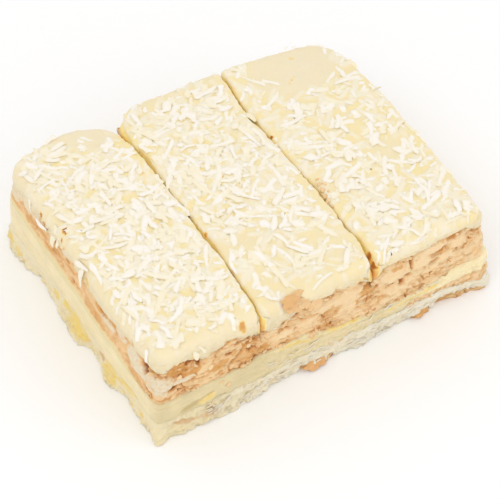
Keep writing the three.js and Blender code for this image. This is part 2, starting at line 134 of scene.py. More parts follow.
# Heights of the layer boundaries along the front, right, back and left, in that order and
# evenly spaced along each side from the front left corner round.
BOUNDARIES = {
    "crust_top": ((2.8, 2.8, 2.6, 2.4, 3.2, 3.9), (3.9, 3.6), (3.6, 3, 3.2), (3, 2.8)),
    "cream_top": ((9.3, 9.4, 9.4, 8.8, 8.4, 7.6), (7.6, 8.2), (8.2, 8.6, 9), (9, 9.2)),
    "thin_pastry_top": ((10.7, 10.9, 11, 10.6, 11.6, 12), (12, 12.2), (12.2, 12, 11), (11, 10.7)),
    "custard_top": (
        (18.4, 19.4, 18.8, 20.4, 20, 16.6, 14.6, 13.6, 15.2, 16.8, 18.4), (18.4, 18, 18.6),
        (18.6, 18, 19, 20, 23), (23, 20.6, 20, 19, 18.2),
    ),
    "flaky_top": (
        (31, 33, 31, 30.6, 32.2, 35, 33.4, 34, 34.6, 34.6, 33), (33, 34, 33), (33, 33.4, 32.4, 33),
        (33, 33.2, 31.6, 31.4, 30.8),
    ),
}

# How far the wall flares out at its foot, round the four sides, and how it curves up.
BASE_FLARE_POWER = 0.6
BASE_FLARE = ((2.8, 3.2, 2.6, 2.4, 2.8), (5.4, 3.8), (3.2, 2.6, 2.8), (2.8, 2.6))

# How far the foot stands out from under the icing's edge, by distance from the front left
# corner. Distances are below 0 on the left side.
FOOT_REACH = (
    (-190, 1.8), (-122, 1.8), (-116, 2.6), (-108, 3.5), (-96, 4.2), (-88, 4.2), (-82, 2), (-77, 2.4),
    (-70, 3.2), (-62, 4.2), (-55, 5.2), (-48, 5.4), (-46, 3.6), (-43, 2), (-36, 2.8), (-30, 4.8),
    (-26, 5.2), (-22.5, 3.6), (-20, 2), (-13, 2.8), (-6, 3), (-1.2, 2.8), (0, 3.8), (0.8, 5.4),
    (1.7, 3.8), (2.8, 2.9), (7, 3.5), (17, 4), (25, 4.8), (30, 3.4), (34, 2.7), (37.5, 3.8),
    (43, 1.8), (51, 1.3), (56, 0.8), (59, 2.2), (65, 1.8), (71, 2.3), (76, 2), (79.5, 2.8), (85, 2),
    (97, 0.9), (101, 1.5), (104.5, 3), (110, 1.5), (115, 0.3), (119, 1.2), (122, 2.4), (127, 2.2),
    (129.5, 4.4), (132, 5.4), (150, 5.2), (180, 4.8), (235, 3), (250, 2.2), (293, 1.8),
)

# Reach at which the foot starts to be a blob, and how much further it is wholly one.
BLOB_REACH = (3.6, 1.6)

# Fullness of the corners that are less rounded than the outline.
CORNER_FILL = (
    (-124, 0), (-114, 1.6), (-104, 1.7), (-96, 0.7), (-86, 0), (-2.3, 0), (-0.6, 0.3), (0.8, 1.5),
    (2.3, 0.3), (4, 0), (124, 0), (127.5, 0.4), (129.5, 1.6), (132, 1.3), (150, 0.8), (190, 0),
)

# Heights below which the foot starts to stand out, and does so in full.
FOOT_HEIGHT = 8.0
FOOT_FULL_HEIGHT = 2.5

# How far the thin pastry lies back, and what share of that the layers at its seam lie back.
THIN_PASTRY_RECESS = ((2.2, 2.4, 2, 1.4, 0, 0), (0, 0), (0, 0.8, 1.6), (2, 2.2))
SEAM_RECESS = 0.25

# Lower edge of the icing: height by distance along the front, and along the left side.
FRONT_HEM = (
    (-66, 32.5), (-60, 35), (-52, 33.4), (-46, 31), (-40, 33), (-35, 33.4), (-30, 31), (-25, 30),
    (-19, 28.5), (-13, 31.5), (-7, 34), (4, 35.5), (12, 31.7), (18, 32.2), (22, 33), (27, 37),
    (36, 34.8), (48, 34), (58, 35.4), (66, 31),
)
LEFT_HEM = (
    (-52, 33), (-50.5, 35.5), (-47, 36), (-44, 33.5), (-38, 33.2), (-33, 32.3), (-24, 30.5),
    (-15, 29.6), (-5, 29.5), (2, 33), (12, 35), (20, 34), (27, 33), (32, 30.6), (40, 30), (50, 30),
    (56, 30),
)

# How far custard is drawn up over the flaky pastry, by distance.
DRAWN_UP = (
    (-122, 0.8), (-112, 1), (-102, 1.3), (-84, 1.6), (-69, 2.6), (-55, 2), (-36, 1.2), (-28, 2),
    (-22, 1.8), (-14, 0.4), (-8, -0.4), (0, -1),
)

# Strips of icing: cut on each side (None at the outside), shoulders, corner rounding, droop.
STRIPS = {
    "left": dict(cuts=(None, CUTS[0]), shoulders=(4.6, 0.9), back=(8, 11), front=(3.5, 1),
                 droop=3.6, seed=11),
    "middle": dict(cuts=(CUTS[0], CUTS[1]), shoulders=(2, 0.9), back=(9, 2), front=(1.4, 1),
                   droop=0, seed=12),
    "right": dict(cuts=(CUTS[1], None), shoulders=(2, 4), back=(3, 13), front=(1.4, 2.4),
                  droop=1.5, seed=13),
}
END_SHOULDER = 4.2

# Grid of a strip of icing: columns, rows and the steps of its skirt, the last ones folded in.
STRIP_COLUMNS = 96
STRIP_ROWS = 226
SKIRT_STEPS = 24
FOLD_STEPS = 4
FOLD_TUCK = (0, 0.3, 0.8, 1.4, 3)
FOLD_RISE = (0, -0.04, 0.1, 1.2, 3)

# Height of the icing's lower edge in a cut, and of the skirt's hidden inner edge.
HEM_IN_CUT = 31.0
SKIRT_FLOOR = 34.0

# Golden and brown spots on the icing: place, radius, how brown.
STAINS = (
    ((-32.6, -52.8, 39.4), 1.7, 0.6), ((-32.4, -53.2, 37.6), 1.3, 0.5), ((48.1, 46.5, 41), 1, 0.3),
    ((-31.9, 29.8, 41), 1.2, 0.35), ((-28, 24.6, 41), 1, 0.35), ((20.4, 16.2, 40.4), 0.9, 1),
    ((-63.6, 14.8, 40.6), 0.9, 0.9), ((-63.4, 13.6, 40.2), 0.8, 1), ((-65.4, 13.2, 37.6), 0.7, 0.9),
    ((-65.8, 11.4, 35), 1, 0.45), ((-65.6, -2, 36.2), 0.6, 0.9), ((-65.8, -5, 34.4), 1.3, 0.4),
    ((-65.4, 28.4, 35), 1.4, 0.7), ((-65.8, 27, 34), 1, 0.8), ((-5.6, 10.2, 41), 0.5, 0.7),
    ((-4.4, 8.2, 41), 0.5, 0.6), ((21.2, -47.5, 38), 1.1, 0.8), ((21.4, -50.5, 36), 1.3, 0.8),
    ((-57, -53.2, 34), 1.4, 0.35), ((-52, -53.2, 35), 1, 0.3), ((-12, -53, 35), 1.6, 0.3),
    ((14, -53, 34), 1.2, 0.25), ((24.5, -20, 41), 1, 0.3), ((40.4, 35.4, 41), 0.5, 0.3),
    ((41.8, 36.4, 41), 0.5, 0.4), ((43.4, 37.2, 41), 0.45, 0.3), ((-23, -11.5, 39.8), 0.9, 0.6),
)

# ---- what shows on the walls ----
# Distances are from the front left corner: rightwards along the front, and leftwards, as
# negative numbers, along the left side. Each mark is its distance, height, half width, half
# height and slope.
WHITE_SMEARS = (
    (-6, 26, 6, 2.6, -0.05), (-14, 27.5, 4, 3.4, 0.1), (-23, 29.5, 4, 2.4, 0), (1.5, 26, 4.5, 3.4, 0),
    (9, 25.6, 5, 1, 0.05), (-11, 24.4, 6, 1.8, 0), (-31, 26, 5, 1.2, 0), (-62, 33.5, 5, 3, 0),
    (-76, 33, 7, 4, 0), (-90, 32, 9, 4.5, 0), (-103, 30, 8, 4.5, 0), (51, 32.5, 4.6, 2.6, 0),
    (45.5, 29.5, 2.6, 1.2, 0), (34, 31, 3, 1, 0.1), (150, 31, 12, 2.4, 0), (260, 31, 16, 2.4, 0),
    (320, 31, 14, 2.4, 0),
)
GOLDEN_LEAVES = (
    (7.5, 31, 4.2, 2.8, 0.1), (12.5, 27.6, 4, 1.2, 0.1), (-28, 28.6, 5, 1.3, -0.1),
    (-33, 27, 3, 1, 0), (23, 24.4, 4, 1.2, 0.1), (40.5, 23.6, 2.4, 1.3, 0.1),
    (-31, 31.6, 4.6, 1.6, 0), (-37, 27.4, 4, 2, 0), (-68, 27, 4, 1.2, 0), (-79, 26.5, 3, 1, 0),
    (88.5, 33.2, 2.2, 1.2, 0), (92, 36, 4, 1, 0), (95, 30.2, 3, 0.9, 0), (119, 33.2, 2.8, 1.4, 0),
    (-74, 24.2, 3.6, 0.9, 0), (-58, 27.6, 3, 1, 0), (83, 26.2, 3.4, 2.6, 0),
)
SMOOTH_LEAVES = (
    (61.6, 32.2, 3.4, 2, 0.3), (64.5, 27.9, 4.2, 1.5, 0), (74, 28, 5.2, 2.4, 0),
    (94, 27.8, 5.6, 3.4, 0), (109, 31, 6.4, 1.9, 0), (105, 27.4, 3.6, 2.2, 0),
    (50, 24.6, 3.6, 1.4, 0.1), (58, 25.2, 4.4, 1.5, 0.1), (17.5, 26.8, 3, 1.4, 0.1),
    (120, 29.2, 3.6, 2.2, 0), (-22, 25.4, 5, 1.8, 0), (-50, 26.2, 8, 1.8, 0), (115, 26.4, 3, 1.6, 0),
)
# Pits in the flaky pastry: pressed in, and darkened with painted shade.
SHADED_PITS = (
    (5.2, 23.3, 1.7, 1.3, 0), (7.6, 21.6, 1.2, 0.7, 0), (-5.6, 29.6, 1.3, 3.2, 0.4),
    (32.8, 30.2, 2.4, 0.8, 0.15), (35.3, 25.9, 2, 0.7, 0.1), (38.4, 29.6, 1.4, 0.6, 0),
    (27.5, 27.4, 1.6, 0.6, 0), (64, 34, 1, 1.1, 0), (68.3, 31.2, 1.2, 0.8, 0),
    (60, 34.6, 3, 0.6, 0.2), (66.5, 36, 2, 0.7, 0), (83.6, 28, 2.2, 1.2, 0), (81, 30.4, 1.2, 0.8, 0),
    (86.5, 25.6, 1, 0.9, 0), (101.2, 29.6, 0.6, 4.2, 0.15), (119.6, 33, 2.6, 1.1, 0.1),
    (97, 22.6, 1, 1.6, 0.6), (99.6, 23.8, 1.6, 0.6, 0), (110.5, 25.2, 1.8, 0.6, 0.3),
    (112, 29.2, 2.6, 0.5, 0), (-36.4, 27.6, 2, 1.1, -0.3), (-39.5, 29.2, 2, 0.7, -0.3),
    (-42.5, 30.6, 1.8, 0.6, -0.3), (-46, 31, 1, 0.7, 0), (-6.6, 31.5, 1.3, 3.2, 0.3),
    (-77, 31.5, 1.6, 1.2, 0), (-61, 29.2, 1.2, 0.6, 0), (-79.8, 33.4, 1.4, 0.8, 0.3),
    (-70, 25.6, 1.6, 0.5, 0), (53.6, 30.4, 1.6, 0.7, 0.2), (45, 32.2, 4, 0.6, 0.1),
    (91.5, 33.4, 1, 0.8, 0), (15.5, 30.4, 0.9, 1.6, 0),
)
YELLOW_STREAKS = (
    (50.5, 18.6, 6, 0.9, -0.12), (58.5, 16.6, 4, 0.8, -0.1), (70, 16.4, 5, 0.9, -0.05),
    (77, 15.4, 4, 0.6, 0), (98, 12.6, 8, 0.7, 0.1), (108, 13.4, 4, 0.8, 0.1),
    (17.5, 11.6, 3.6, 1.6, 0.2), (-101, 4.6, 3.6, 1.8, 0), (-94, 4, 2, 1.2, 0),
    (-52, 5.4, 5.6, 3.4, 0), (-46, 5, 2.4, 2.6, 0), (-27.5, 5.6, 4.6, 3.4, 0), (-20, 7, 7, 1, 0.1),
    (-14, 9.4, 6, 0.9, 0.1), (-60, 7.5, 3, 1.6, 0), (-68, 6, 2.4, 1.6, 0), (-6, 5, 1.4, 1.4, 0),
    (160, 15, 20, 3, 0), (300, 6, 8, 3, 0),
)
TAN_SPOTS = (
    (-34, 6.4, 2.2, 1.4, 0), (8.5, 5.6, 5, 0.9, -0.3), (18, 4.4, 3.6, 1.1, 0),
    (23.2, 12.4, 1.6, 0.9, 0), (71.5, 8.4, 1.2, 0.8, 0.3), (47, 3.2, 4, 0.8, 0),
)
# Pockets in the front of the fillings: pressed in, and darkened with painted shade.
POCKETS = (
    (11.6, 11.4, 4.4, 1.5, 0.2), (17.5, 13.4, 2.4, 0.6, 0.2), (22, 9.4, 2.6, 0.7, 0.1),
    (19, 5.6, 2.2, 0.6, 0.1),
)

# How far the cream hangs down over the crust, by distance.
CREAM_VEIL = (
    (-200, 0.6), (-150, 0.2), (-112, 0.5), (-104, 1), (53, 1), (57, 0.1), (67, 0.1), (71, 1),
    (100, 1), (103, 0.1), (109, 0.1), (111, 0.8), (115, 0.05), (123, 0.05), (126, 0.5), (134, 0.4),
    (150, 0.1), (170, 0.6), (205, 0.1), (245, 0.4),
)

# Where the cream ends that hangs down to the floor, and the height at which it flares as there.
VEIL_FOOT = 0.35
VEIL_FLARE_HEIGHT = 0.3

# How rich custard and cream are, from 0 to 1, by distance. Low custard values give its
# darker, greyer colour, partly its own and partly painted shade on the front face.
CUSTARD_RICHNESS = (
    (-200, 0.85), (-106, 0.7), (-20, 0.8), (-2, 0.7), (1.5, 0.25), (36, 0.3), (50, 0.5), (90, 0.5),
    (104, 0.7), (112, 1), (200, 0.9),
)
CREAM_RICHNESS = (
    (-200, 0.5), (-106, 0.65), (-3, 0.8), (8, 0.85), (16, 0.8), (30, 0.5), (60, 0.25), (130, 0.08),
    (200, 0.3),
)

# ---- coconut shreds ----

# Kinds of shreds: share of them all, shortest and longest, narrowest and widest.
SHRED_KINDS = (
    (0.40, (1.4, 3.6), (1, 2.1)),
    (0.36, (3.4, 7), (1.3, 2.4)),
    (0.13, (7, 12), (1.2, 2.1)),
    (0.11, (3.2, 6), (2.3, 3.5)),
)

SHRED_THICKNESS = (0.15, 0.24)
PLACED_THICKNESS = 0.28
SUNK_SHARE = 0.48
KEPT_OFF_CUTS = 0.85

# How high shreds may pile on each other, on a plan of squares this wide.
PILE_LIMIT = 0.34
PILE_SQUARE = 0.8

# Height above which the shreds are pressed flatter.
TOP_LIMIT = 41.8

# Shreds sunk in each strip's icing, on a plan of squares this wide.
BURIED_COUNT = 420
BURIED_STEP = 0.4
BURIED_MARGIN = 4

# Shreds that catch the eye: place, heading in degrees, length, width, bend in degrees.
PLACED_SHREDS = {
    "left": (
        (-33, 17, 135, 20, 1.3, 60), (-27, -9, 100, 12, 2.6, 0), (-29, 2, 120, 7, 1.9, 0),
        (-45, 6, 10, 13, 1.9, 30), (-45, 2, 80, 8, 2.8, 20), (-40, 1, 55, 13, 2, 0),
        (-46, 11, 55, 12, 2, 10), (-36, 10, 95, 11, 2.2, 0), (-33, 11, 90, 6, 2, 20),
        (-24, 4, 110, 9, 2.4, -20), (-42, -8, 0, 7, 3, 0), (-63, -7, 90, 9, 2.8, 0),
        (-53, -10, 45, 6, 2, 0), (-59, -24, 65, 7, 2.8, 0), (-43, -34, 150, 6, 2.4, 0),
        (-39, -38, 85, 9, 2.5, 0), (-34, -33, 70, 14, 1.8, 20), (-55, 12, 50, 10, 2.9, 0),
        (-55, 19, 115, 8, 1.6, 0), (-47, 36, 25, 10, 2.2, 0), (-39, 34, 85, 10, 2.2, -30),
        (-30, 27, 55, 11, 2.2, 30), (-30, 44, 65, 7, 2.4, 0), (-44, 28, 20, 7, 2.3, 0),
        (-37, -47, 30, 6, 2.4, 0),
    ),
    "middle": (
        (-10, 21, 100, 11, 2.4, 0), (-4, 20, 65, 8, 2.5, 0), (-7, 12, 160, 15, 2.2, 20),
        (0, 6, 90, 6, 2.2, 0), (-19, 20, 60, 14, 2, 0), (-19, 13, 60, 11, 1.8, 0),
        (-19, 35, 150, 8, 2, 0), (-14, 29, 30, 10, 2.2, 20), (-1, 31, 165, 8, 3, 0),
        (-13, 3, 25, 12, 1.6, 40), (-9, 0, 25, 9, 2.8, 0), (-22, -29, 70, 10, 2, 20),
        (12, 2, 95, 19, 1.8, 40), (18, 11, 115, 7, 2.4, 0), (12, 47, 165, 6, 2.4, 0),
        (13, 42, 160, 9, 2.8, 0), (4, -5, 165, 9, 3.6, 0), (15, -14, 70, 10, 2.8, 0),
        (10, -21, 150, 16, 2.7, 0), (0, -13, 155, 10, 2.2, 0), (15, -27, 30, 8, 2.4, 0),
        (3, -33, 120, 9, 3, 0), (13, -40, 140, 6, 2.5, 0), (13, -46, 55, 9, 2.2, 0),
        (-19, -41, 85, 13, 1.8, 20),
    ),
    "right": (
        (28, 50, 35, 8, 2.2, 40), (35, 39, 130, 8, 1.4, 0), (22.5, 39, 50, 5, 1.5, 60),
        (59, 25, 160, 11, 1.8, 0), (45, 8, 165, 10, 1.9, 60), (30, 16, 155, 8, 1.5, 15),
        (30, 6, 155, 12, 1.9, -10), (36, -3, 140, 11, 2.2, 0), (34, -7, 130, 11, 1.9, 15),
        (39, -12, 20, 17, 2.3, 30), (38, -17, 55, 9, 2.4, 0), (31, -31, 130, 12, 2.4, -40),
        (38, -44, 55, 9, 3, 0), (46, -44, 165, 9, 3, 0), (60, -37, 40, 9, 2.8, 0),
        (56, -15, 50, 13, 2.2, 20), (52, -1, 55, 11, 2.4, 0), (45, 18, 130, 5, 2.6, 0),
        (33, 21, 175, 4, 2.8, 0), (53, -17, 140, 8, 2.2, 0), (64, 3, 95, 5, 2.4, 0),
    ),
}

# Shreds stuck to the edges and in the cuts: their two ends, width, way they face, paleness lost.
STUCK_SHREDS = (
    ((-66.6, 32, 31.6), (-66.7, 23.6, 33.6), 1.7, (-1, 0, 0.2), 0.1),
    ((-64.9, 18.6, 39.7), (-66.9, 19.4, 29.4), 3.4, (-1, 0, 0.2), 0.8),
    ((-65, 15.6, 38.9), (-66.8, 16.2, 31.6), 2, (-1, 0, 0.2), 0.6),
    ((-65.2, -4.8, 39.9), (-66.4, 2.6, 37.8), 1.9, (-1, 0, 0.4), 0.3),
    ((-66.1, -2.6, 38.6), (-66.9, -0.6, 28.8), 2.1, (-1, 0, 0.1), 0.4),
    ((-65, -45.2, 40), (-66.2, -46.4, 35.2), 1.6, (-1, -0.3, 0.2), 0),
    ((-65.3, 38.4, 38.2), (-66.6, 35.6, 32), 1.2, (-1, 0, 0.3), 0.3),
    ((19.6, 31.6, 39.6), (20.7, 26.6, 39.1), 2.5, (0.2, 0, 1), 1),
    ((-49.5, 55.4, 39.9), (-45, 56.6, 40.4), 2, (0, 0, 1), 0.1),
    ((47.9, 51, 41.2), (49.2, 51.6, 41.4), 1.1, (0, 0, 1), 0),
    ((50.6, 50.4, 41.2), (52.2, 50.2, 41.4), 1, (0, 0, 1), 0),
    ((-51.4, -52.7, 38), (-50.2, -53.1, 33.4), 1.8, (0, -1, 0.1), 1),
    ((-49.2, -52.4, 39.4), (-47, -53, 35), 1.2, (0, -1, 0.2), 0.8),
)

# ---- loose pastry ----

# Share of the loose leaves that lie flat like shelves; the others peel off the wall.
SHELF_SHARE = 0.7

# Groups of crumbs on the front: distance, height, spread, how many, largest crumb.
CRUMB_GROUPS = (
    (25.7, 14.2, 1, 5, 1.6), (31.8, 19.8, 1.8, 9, 1.8), (23, 17.3, 0.9, 4, 1.4),
    (60.2, 19.4, 2.2, 12, 2), (47, 20.6, 2.4, 9, 1.4), (71, 17.6, 2.6, 9, 1.3),
    (82, 16.4, 3, 10, 1.2), (12, 20, 3, 8, 1), (47.8, 5, 1.2, 4, 1.3), (104, 15.4, 4, 10, 1.2),
    (67, 9.4, 1.2, 3, 1), (19.5, 8.2, 1.6, 5, 1.2),
)

# Crumbs on the icing, beside a cut: place and size.
TOP_CRUMBS = (
    ((23, -10.6, 41), 1.4), ((22.6, -12.8, 40.9), 2), ((22.2, -15.6, 40.8), 2.6),
    ((21.7, -18.4, 40.7), 2), ((21.3, -20.8, 40.5), 2.2), ((24.2, -13.8, 41.4), 1.2),
    ((21.2, -23.6, 40.4), 1.2), ((23.4, -17.4, 41.3), 1),
)

# Broad flakes of their own: place, way they face, size, golden share, darkness.
BROAD_FLAKES = (
    ((-11.6, -52.4, 37.8), (0.1, -0.85, 0.6), (10, 7, 0.5), 0.3, 0.3),
    ((-14.4, -52.2, 40.2), (0, -0.6, 0.8), (5.5, 3.6, 0.4), 0.8, 0),
    ((-3.2, -52.9, 33), (0.25, -0.95, 0.25), (6.8, 4.6, 0.6), 0, 0.3),
    ((-8.2, -53, 36.6), (0.2, -0.9, 0.5), (5, 4.2, 0.4), 0, 0.35),
    ((41.6, -53.4, 2.2), (0.3, -0.9, 0.4), (6.4, 3.2, 0.7), 1, 0.1),
    ((-4.2, -53.6, 2.6), (0, -0.7, 0.7), (9, 4, 0.8), 0.2, 0.5),
    ((68.4, -52.4, 9.6), (0.3, -0.4, 1), (3, 2.4, 0.6), 0, 0.1),
    ((68.4, -52.6, 3.4), (0.4, -0.5, 0.9), (3.2, 2.2, 0.6), 0, 0.2),
)

# ---- the camera and the lights ----

# The camera looks from the front, turned to the left, at a height within the slab.
CAMERA_TARGET_HEIGHT = 20.35
CAMERA_AZIMUTH = -31.0
CAMERA_ELEVATION = 48.4
CAMERA_DISTANCE = 806.0
SENSOR_WIDTH = 36.0

# The picture's width, the lens and the aim's shift to the right and down, in its pixels.
PICTURE_WIDTH = 500.0
FOCAL_PIXELS = 2260.0
AIM_RIGHT_PIXELS = 4.8
AIM_DOWN_PIXELS = 24.8

# Round lights that face the slab: name, place and width in metres, power in watts.
LIGHTS = (
    ("key", (-0.5, -0.35, 0.95), 0.7, 1.7),
    ("fill", (0.6, -0.8, 0.6), 0.9, 1.0),
)
FLOOR_WIDTH = 6.0
SKY_STRENGTH = 0.9

# ---- where the slab's own axes lie in the frame of the solids ----

LEFT_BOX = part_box("icing_left")
SLAB_SHIFT = (
    LEFT_BOX[0].x / MM + HALF_LENGTH + ICING_OVERHANG,
    LEFT_BOX[0].y / MM - FRONT_EDGE + ICING_OVERHANG,
)


# ---- noise ----

def unit(value):
    """The value kept between 0 and 1."""
    return np.clip(value, 0, 1)


def hashed(cell, seed):
    """A number from 0 to 1 for each row of whole numbers."""
    mixed = cell[:, 0] * 374761393 + cell[:, 1] * 668265263 + cell[:, 2] * 1440670441
    mixed = (mixed + seed * 974634529) & 0xFFFFFFFF
    mixed = ((mixed ^ (mixed >> 13)) * 1274126177) & 0xFFFFFFFF
    mixed = ((mixed ^ (mixed >> 16)) * 1911520717) & 0xFFFFFFFF
    return ((mixed ^ (mixed >> 15)) & 0xFFFFFF) / 16777216.0


def noise(points, size, seed=0):
    """Smooth noise from -1 to 1, size being the length of its waves, for each axis or for all."""
    scaled = points / np.asarray(size, float)
    base = np.floor(scaled).astype(np.int64)
    part = scaled - base
    part = part * part * (3 - 2 * part)
    total = np.zeros(len(points))
    for corner in product((0, 1), repeat=3):
        weight = np.ones(len(points))
        for axis, step in enumerate(corner):
            weight *= part[:, axis] if step else 1 - part[:, axis]
        total += weight * hashed(base + np.array(corner), seed)
    return total * 2 - 1


def layered(points, size, octaves, seed=0):
    """Noise with finer and weaker noise on top of it."""
    size = np.asarray(size, float)
    total = sum(noise(points, size / 2**n, seed + n) / 2**n for n in range(octaves))
    return total / (2 - 2.0 ** (1 - octaves))


def noise_along(x, y, size, seed=0):
    """Smooth noise over a plan."""
    return noise(np.column_stack([x, y, np.zeros_like(x)]), size, seed)


def cells(points, size, seed):
    """
    Splits space into uneven cells. Gives how clear each point is of its cell's border, the
    cell's own number from 0 to 1, and the height within the cell along a slope of its own.
    """
    scaled = points / np.asarray(size, float)
    base = np.floor(scaled).astype(np.int64)
    nearest = np.full(len(points), 9.0)
    following = np.full(len(points), 9.0)
    number = np.zeros(len(points))
    slope = np.zeros(len(points))
    for offset in product((-1, 0, 1), repeat=3):
        cell = base + np.array(offset)
        middle = cell + 0.5
        for axis in range(3):
            middle[:, axis] += 0.9 * (hashed(cell, seed + axis) - 0.5)
        away = scaled - middle
        distance = np.linalg.norm(away, axis=1)
        closer = distance < nearest
        following = np.where(closer, nearest, np.minimum(following, distance))
        lean = sum(away[:, axis] * (hashed(cell, seed + 8 + axis) - 0.5) for axis in range(3))
        number = np.where(closer, hashed(cell, seed + 7), number)
        slope = np.where(closer, lean, slope)
        nearest = np.where(closer, distance, nearest)
    return following - nearest, number, slope


def ease(low, high, value):
    """0 below low, 1 above high, and a smooth step between; the other way round if low > high."""
    share = unit((value - low) / (high - low))
    return share * share * (3 - 2 * share)


def window(start, full, fade, end, value):
    """1 from full to fade, easing to 0 at start and at end."""
    return ease(start, full, value) * ease(end, fade, value)


def read_along(table, distance):
    """Values read from a table of distances and values, straight between its entries."""
    return np.interp(distance, *zip(*table))


def read_plan(plan, columns, rows):
    """Values read from a plan at places in steps of its squares, straight between them."""
    columns = np.clip(columns, 0, plan.shape[0] - 1.01)
    rows = np.clip(rows, 0, plan.shape[1] - 1.01)
    column, row = columns.astype(int), rows.astype(int)
    over, up = columns - column, rows - row
    return (plan[column, row] * (1 - over) * (1 - up) + plan[column + 1, row] * over * (1 - up)
            + plan[column, row + 1] * (1 - over) * up + plan[column + 1, row + 1] * over * up)


# ---- the slab's outline and layers ----

def bezier(start, control, end, count):
    """Points along a quadratic curve, without its last one."""
    share = np.linspace(0, 1, count, endpoint=False)[:, None]
    start, control, end = (np.array(point, float) for point in (start, control, end))
    return start * (1 - share) ** 2 + 2 * control * share * (1 - share) + end * share**2


# How many points the outline's long edges and its corners are drawn with.
EDGE_POINTS = 400
FRONT_CORNER_POINTS = 40
BACK_CORNER_POINTS = 80


def outline_curve():
    """The plan of the slab, finely drawn, anticlockwise from the front left corner."""
    left, right, bow = -HALF_LENGTH, HALF_LENGTH, (HALF_LENGTH + 2 * SIDE_SWELL, 0)
    corners = (
        ("front_right", (right, FRONT_EDGE), (1, 0), (0, 1), FRONT_CORNER_POINTS, None),
        ("back_right", (right, BACK_EDGE_RIGHT), (0, 1), (-1, 0), BACK_CORNER_POINTS, bow),
        ("back_left", (left, BACK_EDGE_LEFT), (-1, 0), (0, -1), BACK_CORNER_POINTS, None),
        ("front_left", (left, FRONT_EDGE), (0, -1), (1, 0), FRONT_CORNER_POINTS, None),
    )
    pieces = []
    start = np.array((left + CORNER_RADIUS["front_left"], FRONT_EDGE))
    for name, corner, way_in, way_out, count, control in corners:
        before = corner - CORNER_RADIUS[name] * np.array(way_in)
        after = corner + CORNER_RADIUS[name] * np.array(way_out)
        control = (start + before) / 2 if control is None else control
        pieces += [bezier(start, control, before, EDGE_POINTS), bezier(before, corner, after, count)]
        start = after
    return np.vstack(pieces)


# The outline closed on itself, and how far round it each of its points lies.
OUTLINE = outline_curve()
CLOSED_OUTLINE = np.vstack([OUTLINE, OUTLINE[:1]])
STRETCHES = np.linalg.norm(np.diff(CLOSED_OUTLINE, axis=0), axis=1)
TRAVEL = np.concatenate([[0], np.cumsum(STRETCHES)])
OUTLINE_LENGTH = float(TRAVEL[-1])

# Shares of the way round where the sides start and end.
FRONT_END = ICING_LENGTH / OUTLINE_LENGTH
RIGHT_SIDE = BACK_EDGE_RIGHT - FRONT_EDGE - CORNER_RADIUS["back_right"] / 2
RIGHT_END = FRONT_END + RIGHT_SIDE / OUTLINE_LENGTH
SIDE_ENDS = (0.0, FRONT_END, RIGHT_END, RIGHT_END + FRONT_END, 1.0)

# Share of the way round up to which distances count from the front.
COUNTED_FROM_FRONT = 0.62

# Half the stretch of outline over which its direction is taken.
NEARBY = 1.5


def spot_at(turn):
    """Places on the outline at shares of the way round, and the ways out from them."""
    turn = np.mod(np.asarray(turn, float), 1)

    def place(share):
        far = np.mod(share, 1) * OUTLINE_LENGTH
        return np.stack([np.interp(far, TRAVEL, CLOSED_OUTLINE[:, axis]) for axis in (0, 1)], axis=-1)

    step = NEARBY / OUTLINE_LENGTH
    along = place(turn + step) - place(turn - step)
    along /= np.linalg.norm(along, axis=-1, keepdims=True)
    return place(turn), np.stack([along[..., 1], -along[..., 0]], axis=-1)


def reach_from_corner(turn):
    """Distance from the front left corner: positive by the front, negative by the left side."""
    start = CORNER_RADIUS["front_left"]
    far = np.mod(turn, 1) * OUTLINE_LENGTH
    by_front = far < COUNTED_FROM_FRONT * OUTLINE_LENGTH
    return np.where(by_front, far + start, far - OUTLINE_LENGTH + start)


def read_round(sides, turn):
    """Values read round the slab from a table of its four sides, eased between entries."""
    turn = np.mod(np.asarray(turn, float), 1)
    value = np.zeros_like(turn)
    closed = (*sides[:3], sides[3] + sides[0][:1])
    for entries, start, end in zip(closed, SIDE_ENDS, SIDE_ENDS[1:]):
        entries = np.array(entries, float)
        place = unit((turn - start) / (end - start)) * (len(entries) - 1)
        index = np.minimum(np.floor(place).astype(int), len(entries) - 2)
        share = 0.5 - 0.5 * np.cos(np.pi * (place - index))
        here = entries[index] + (entries[index + 1] - entries[index]) * share
        value = np.where((turn >= start) & (turn < end), here, value)
    return value


def extra_foot(turn, height):
    """How much further out, or in, the foot goes than the plain flare, low on the wall."""
    extra = read_along(FOOT_REACH, reach_from_corner(turn)) - read_round(BASE_FLARE, turn)
    return extra * ease(FOOT_HEIGHT, FOOT_FULL_HEIGHT, height)


def flare(turn, height):
    """How far the wall spreads past the outline at a height, before any relief."""
    fall = unit(1 - height / read_round(BOUNDARIES["flaky_top"], turn))
    fill = read_along(CORNER_FILL, reach_from_corner(turn)) * (0.5 + 0.5 * fall)
    return read_round(BASE_FLARE, turn) * fall**BASE_FLARE_POWER + fill + extra_foot(turn, height)


def layer_line(name, turn):
    """Height of the line where two layers meet on the wall, with its unevenness."""
    place, _ = spot_at(turn)
    points = np.column_stack([place, np.full(len(turn), 7.0 * len(name))])
    plain = read_round(BOUNDARIES[name], turn)
    return plain + 0.5 * noise(points, 9, 71) + 0.4 * noise(points, 2.6, 72)


def cream_veil(turn):
    """How far the cream hangs over the crust, from 0 to 1."""
    place, _ = spot_at(turn)
    ragged = 0.35 * noise_along(place[:, 0], place[:, 1], 3.0, 73)
    veil = read_along(CREAM_VEIL, reach_from_corner(turn))
    return unit(veil + ragged * (veil * (1 - veil) * 4 + 0.3))


def custard_veil(turn):
    """How far the custard hangs over the thin pastry, from 0 to 1."""
    return ease(0.0, 0.9, read_round(THIN_PASTRY_RECESS, turn))


def ground_line(turn):
    """The line on which the slab stands: its height and its reach past the outline."""
    return np.zeros_like(turn), flare(turn, 0.0)


def wall_line(name, turn, recess=0.0):
    """Height and reach of a layer boundary, set back by a share of the thin pastry's recess."""
    height = layer_line(name, turn)
    return height, flare(turn, height) - recess * read_round(THIN_PASTRY_RECESS, turn)


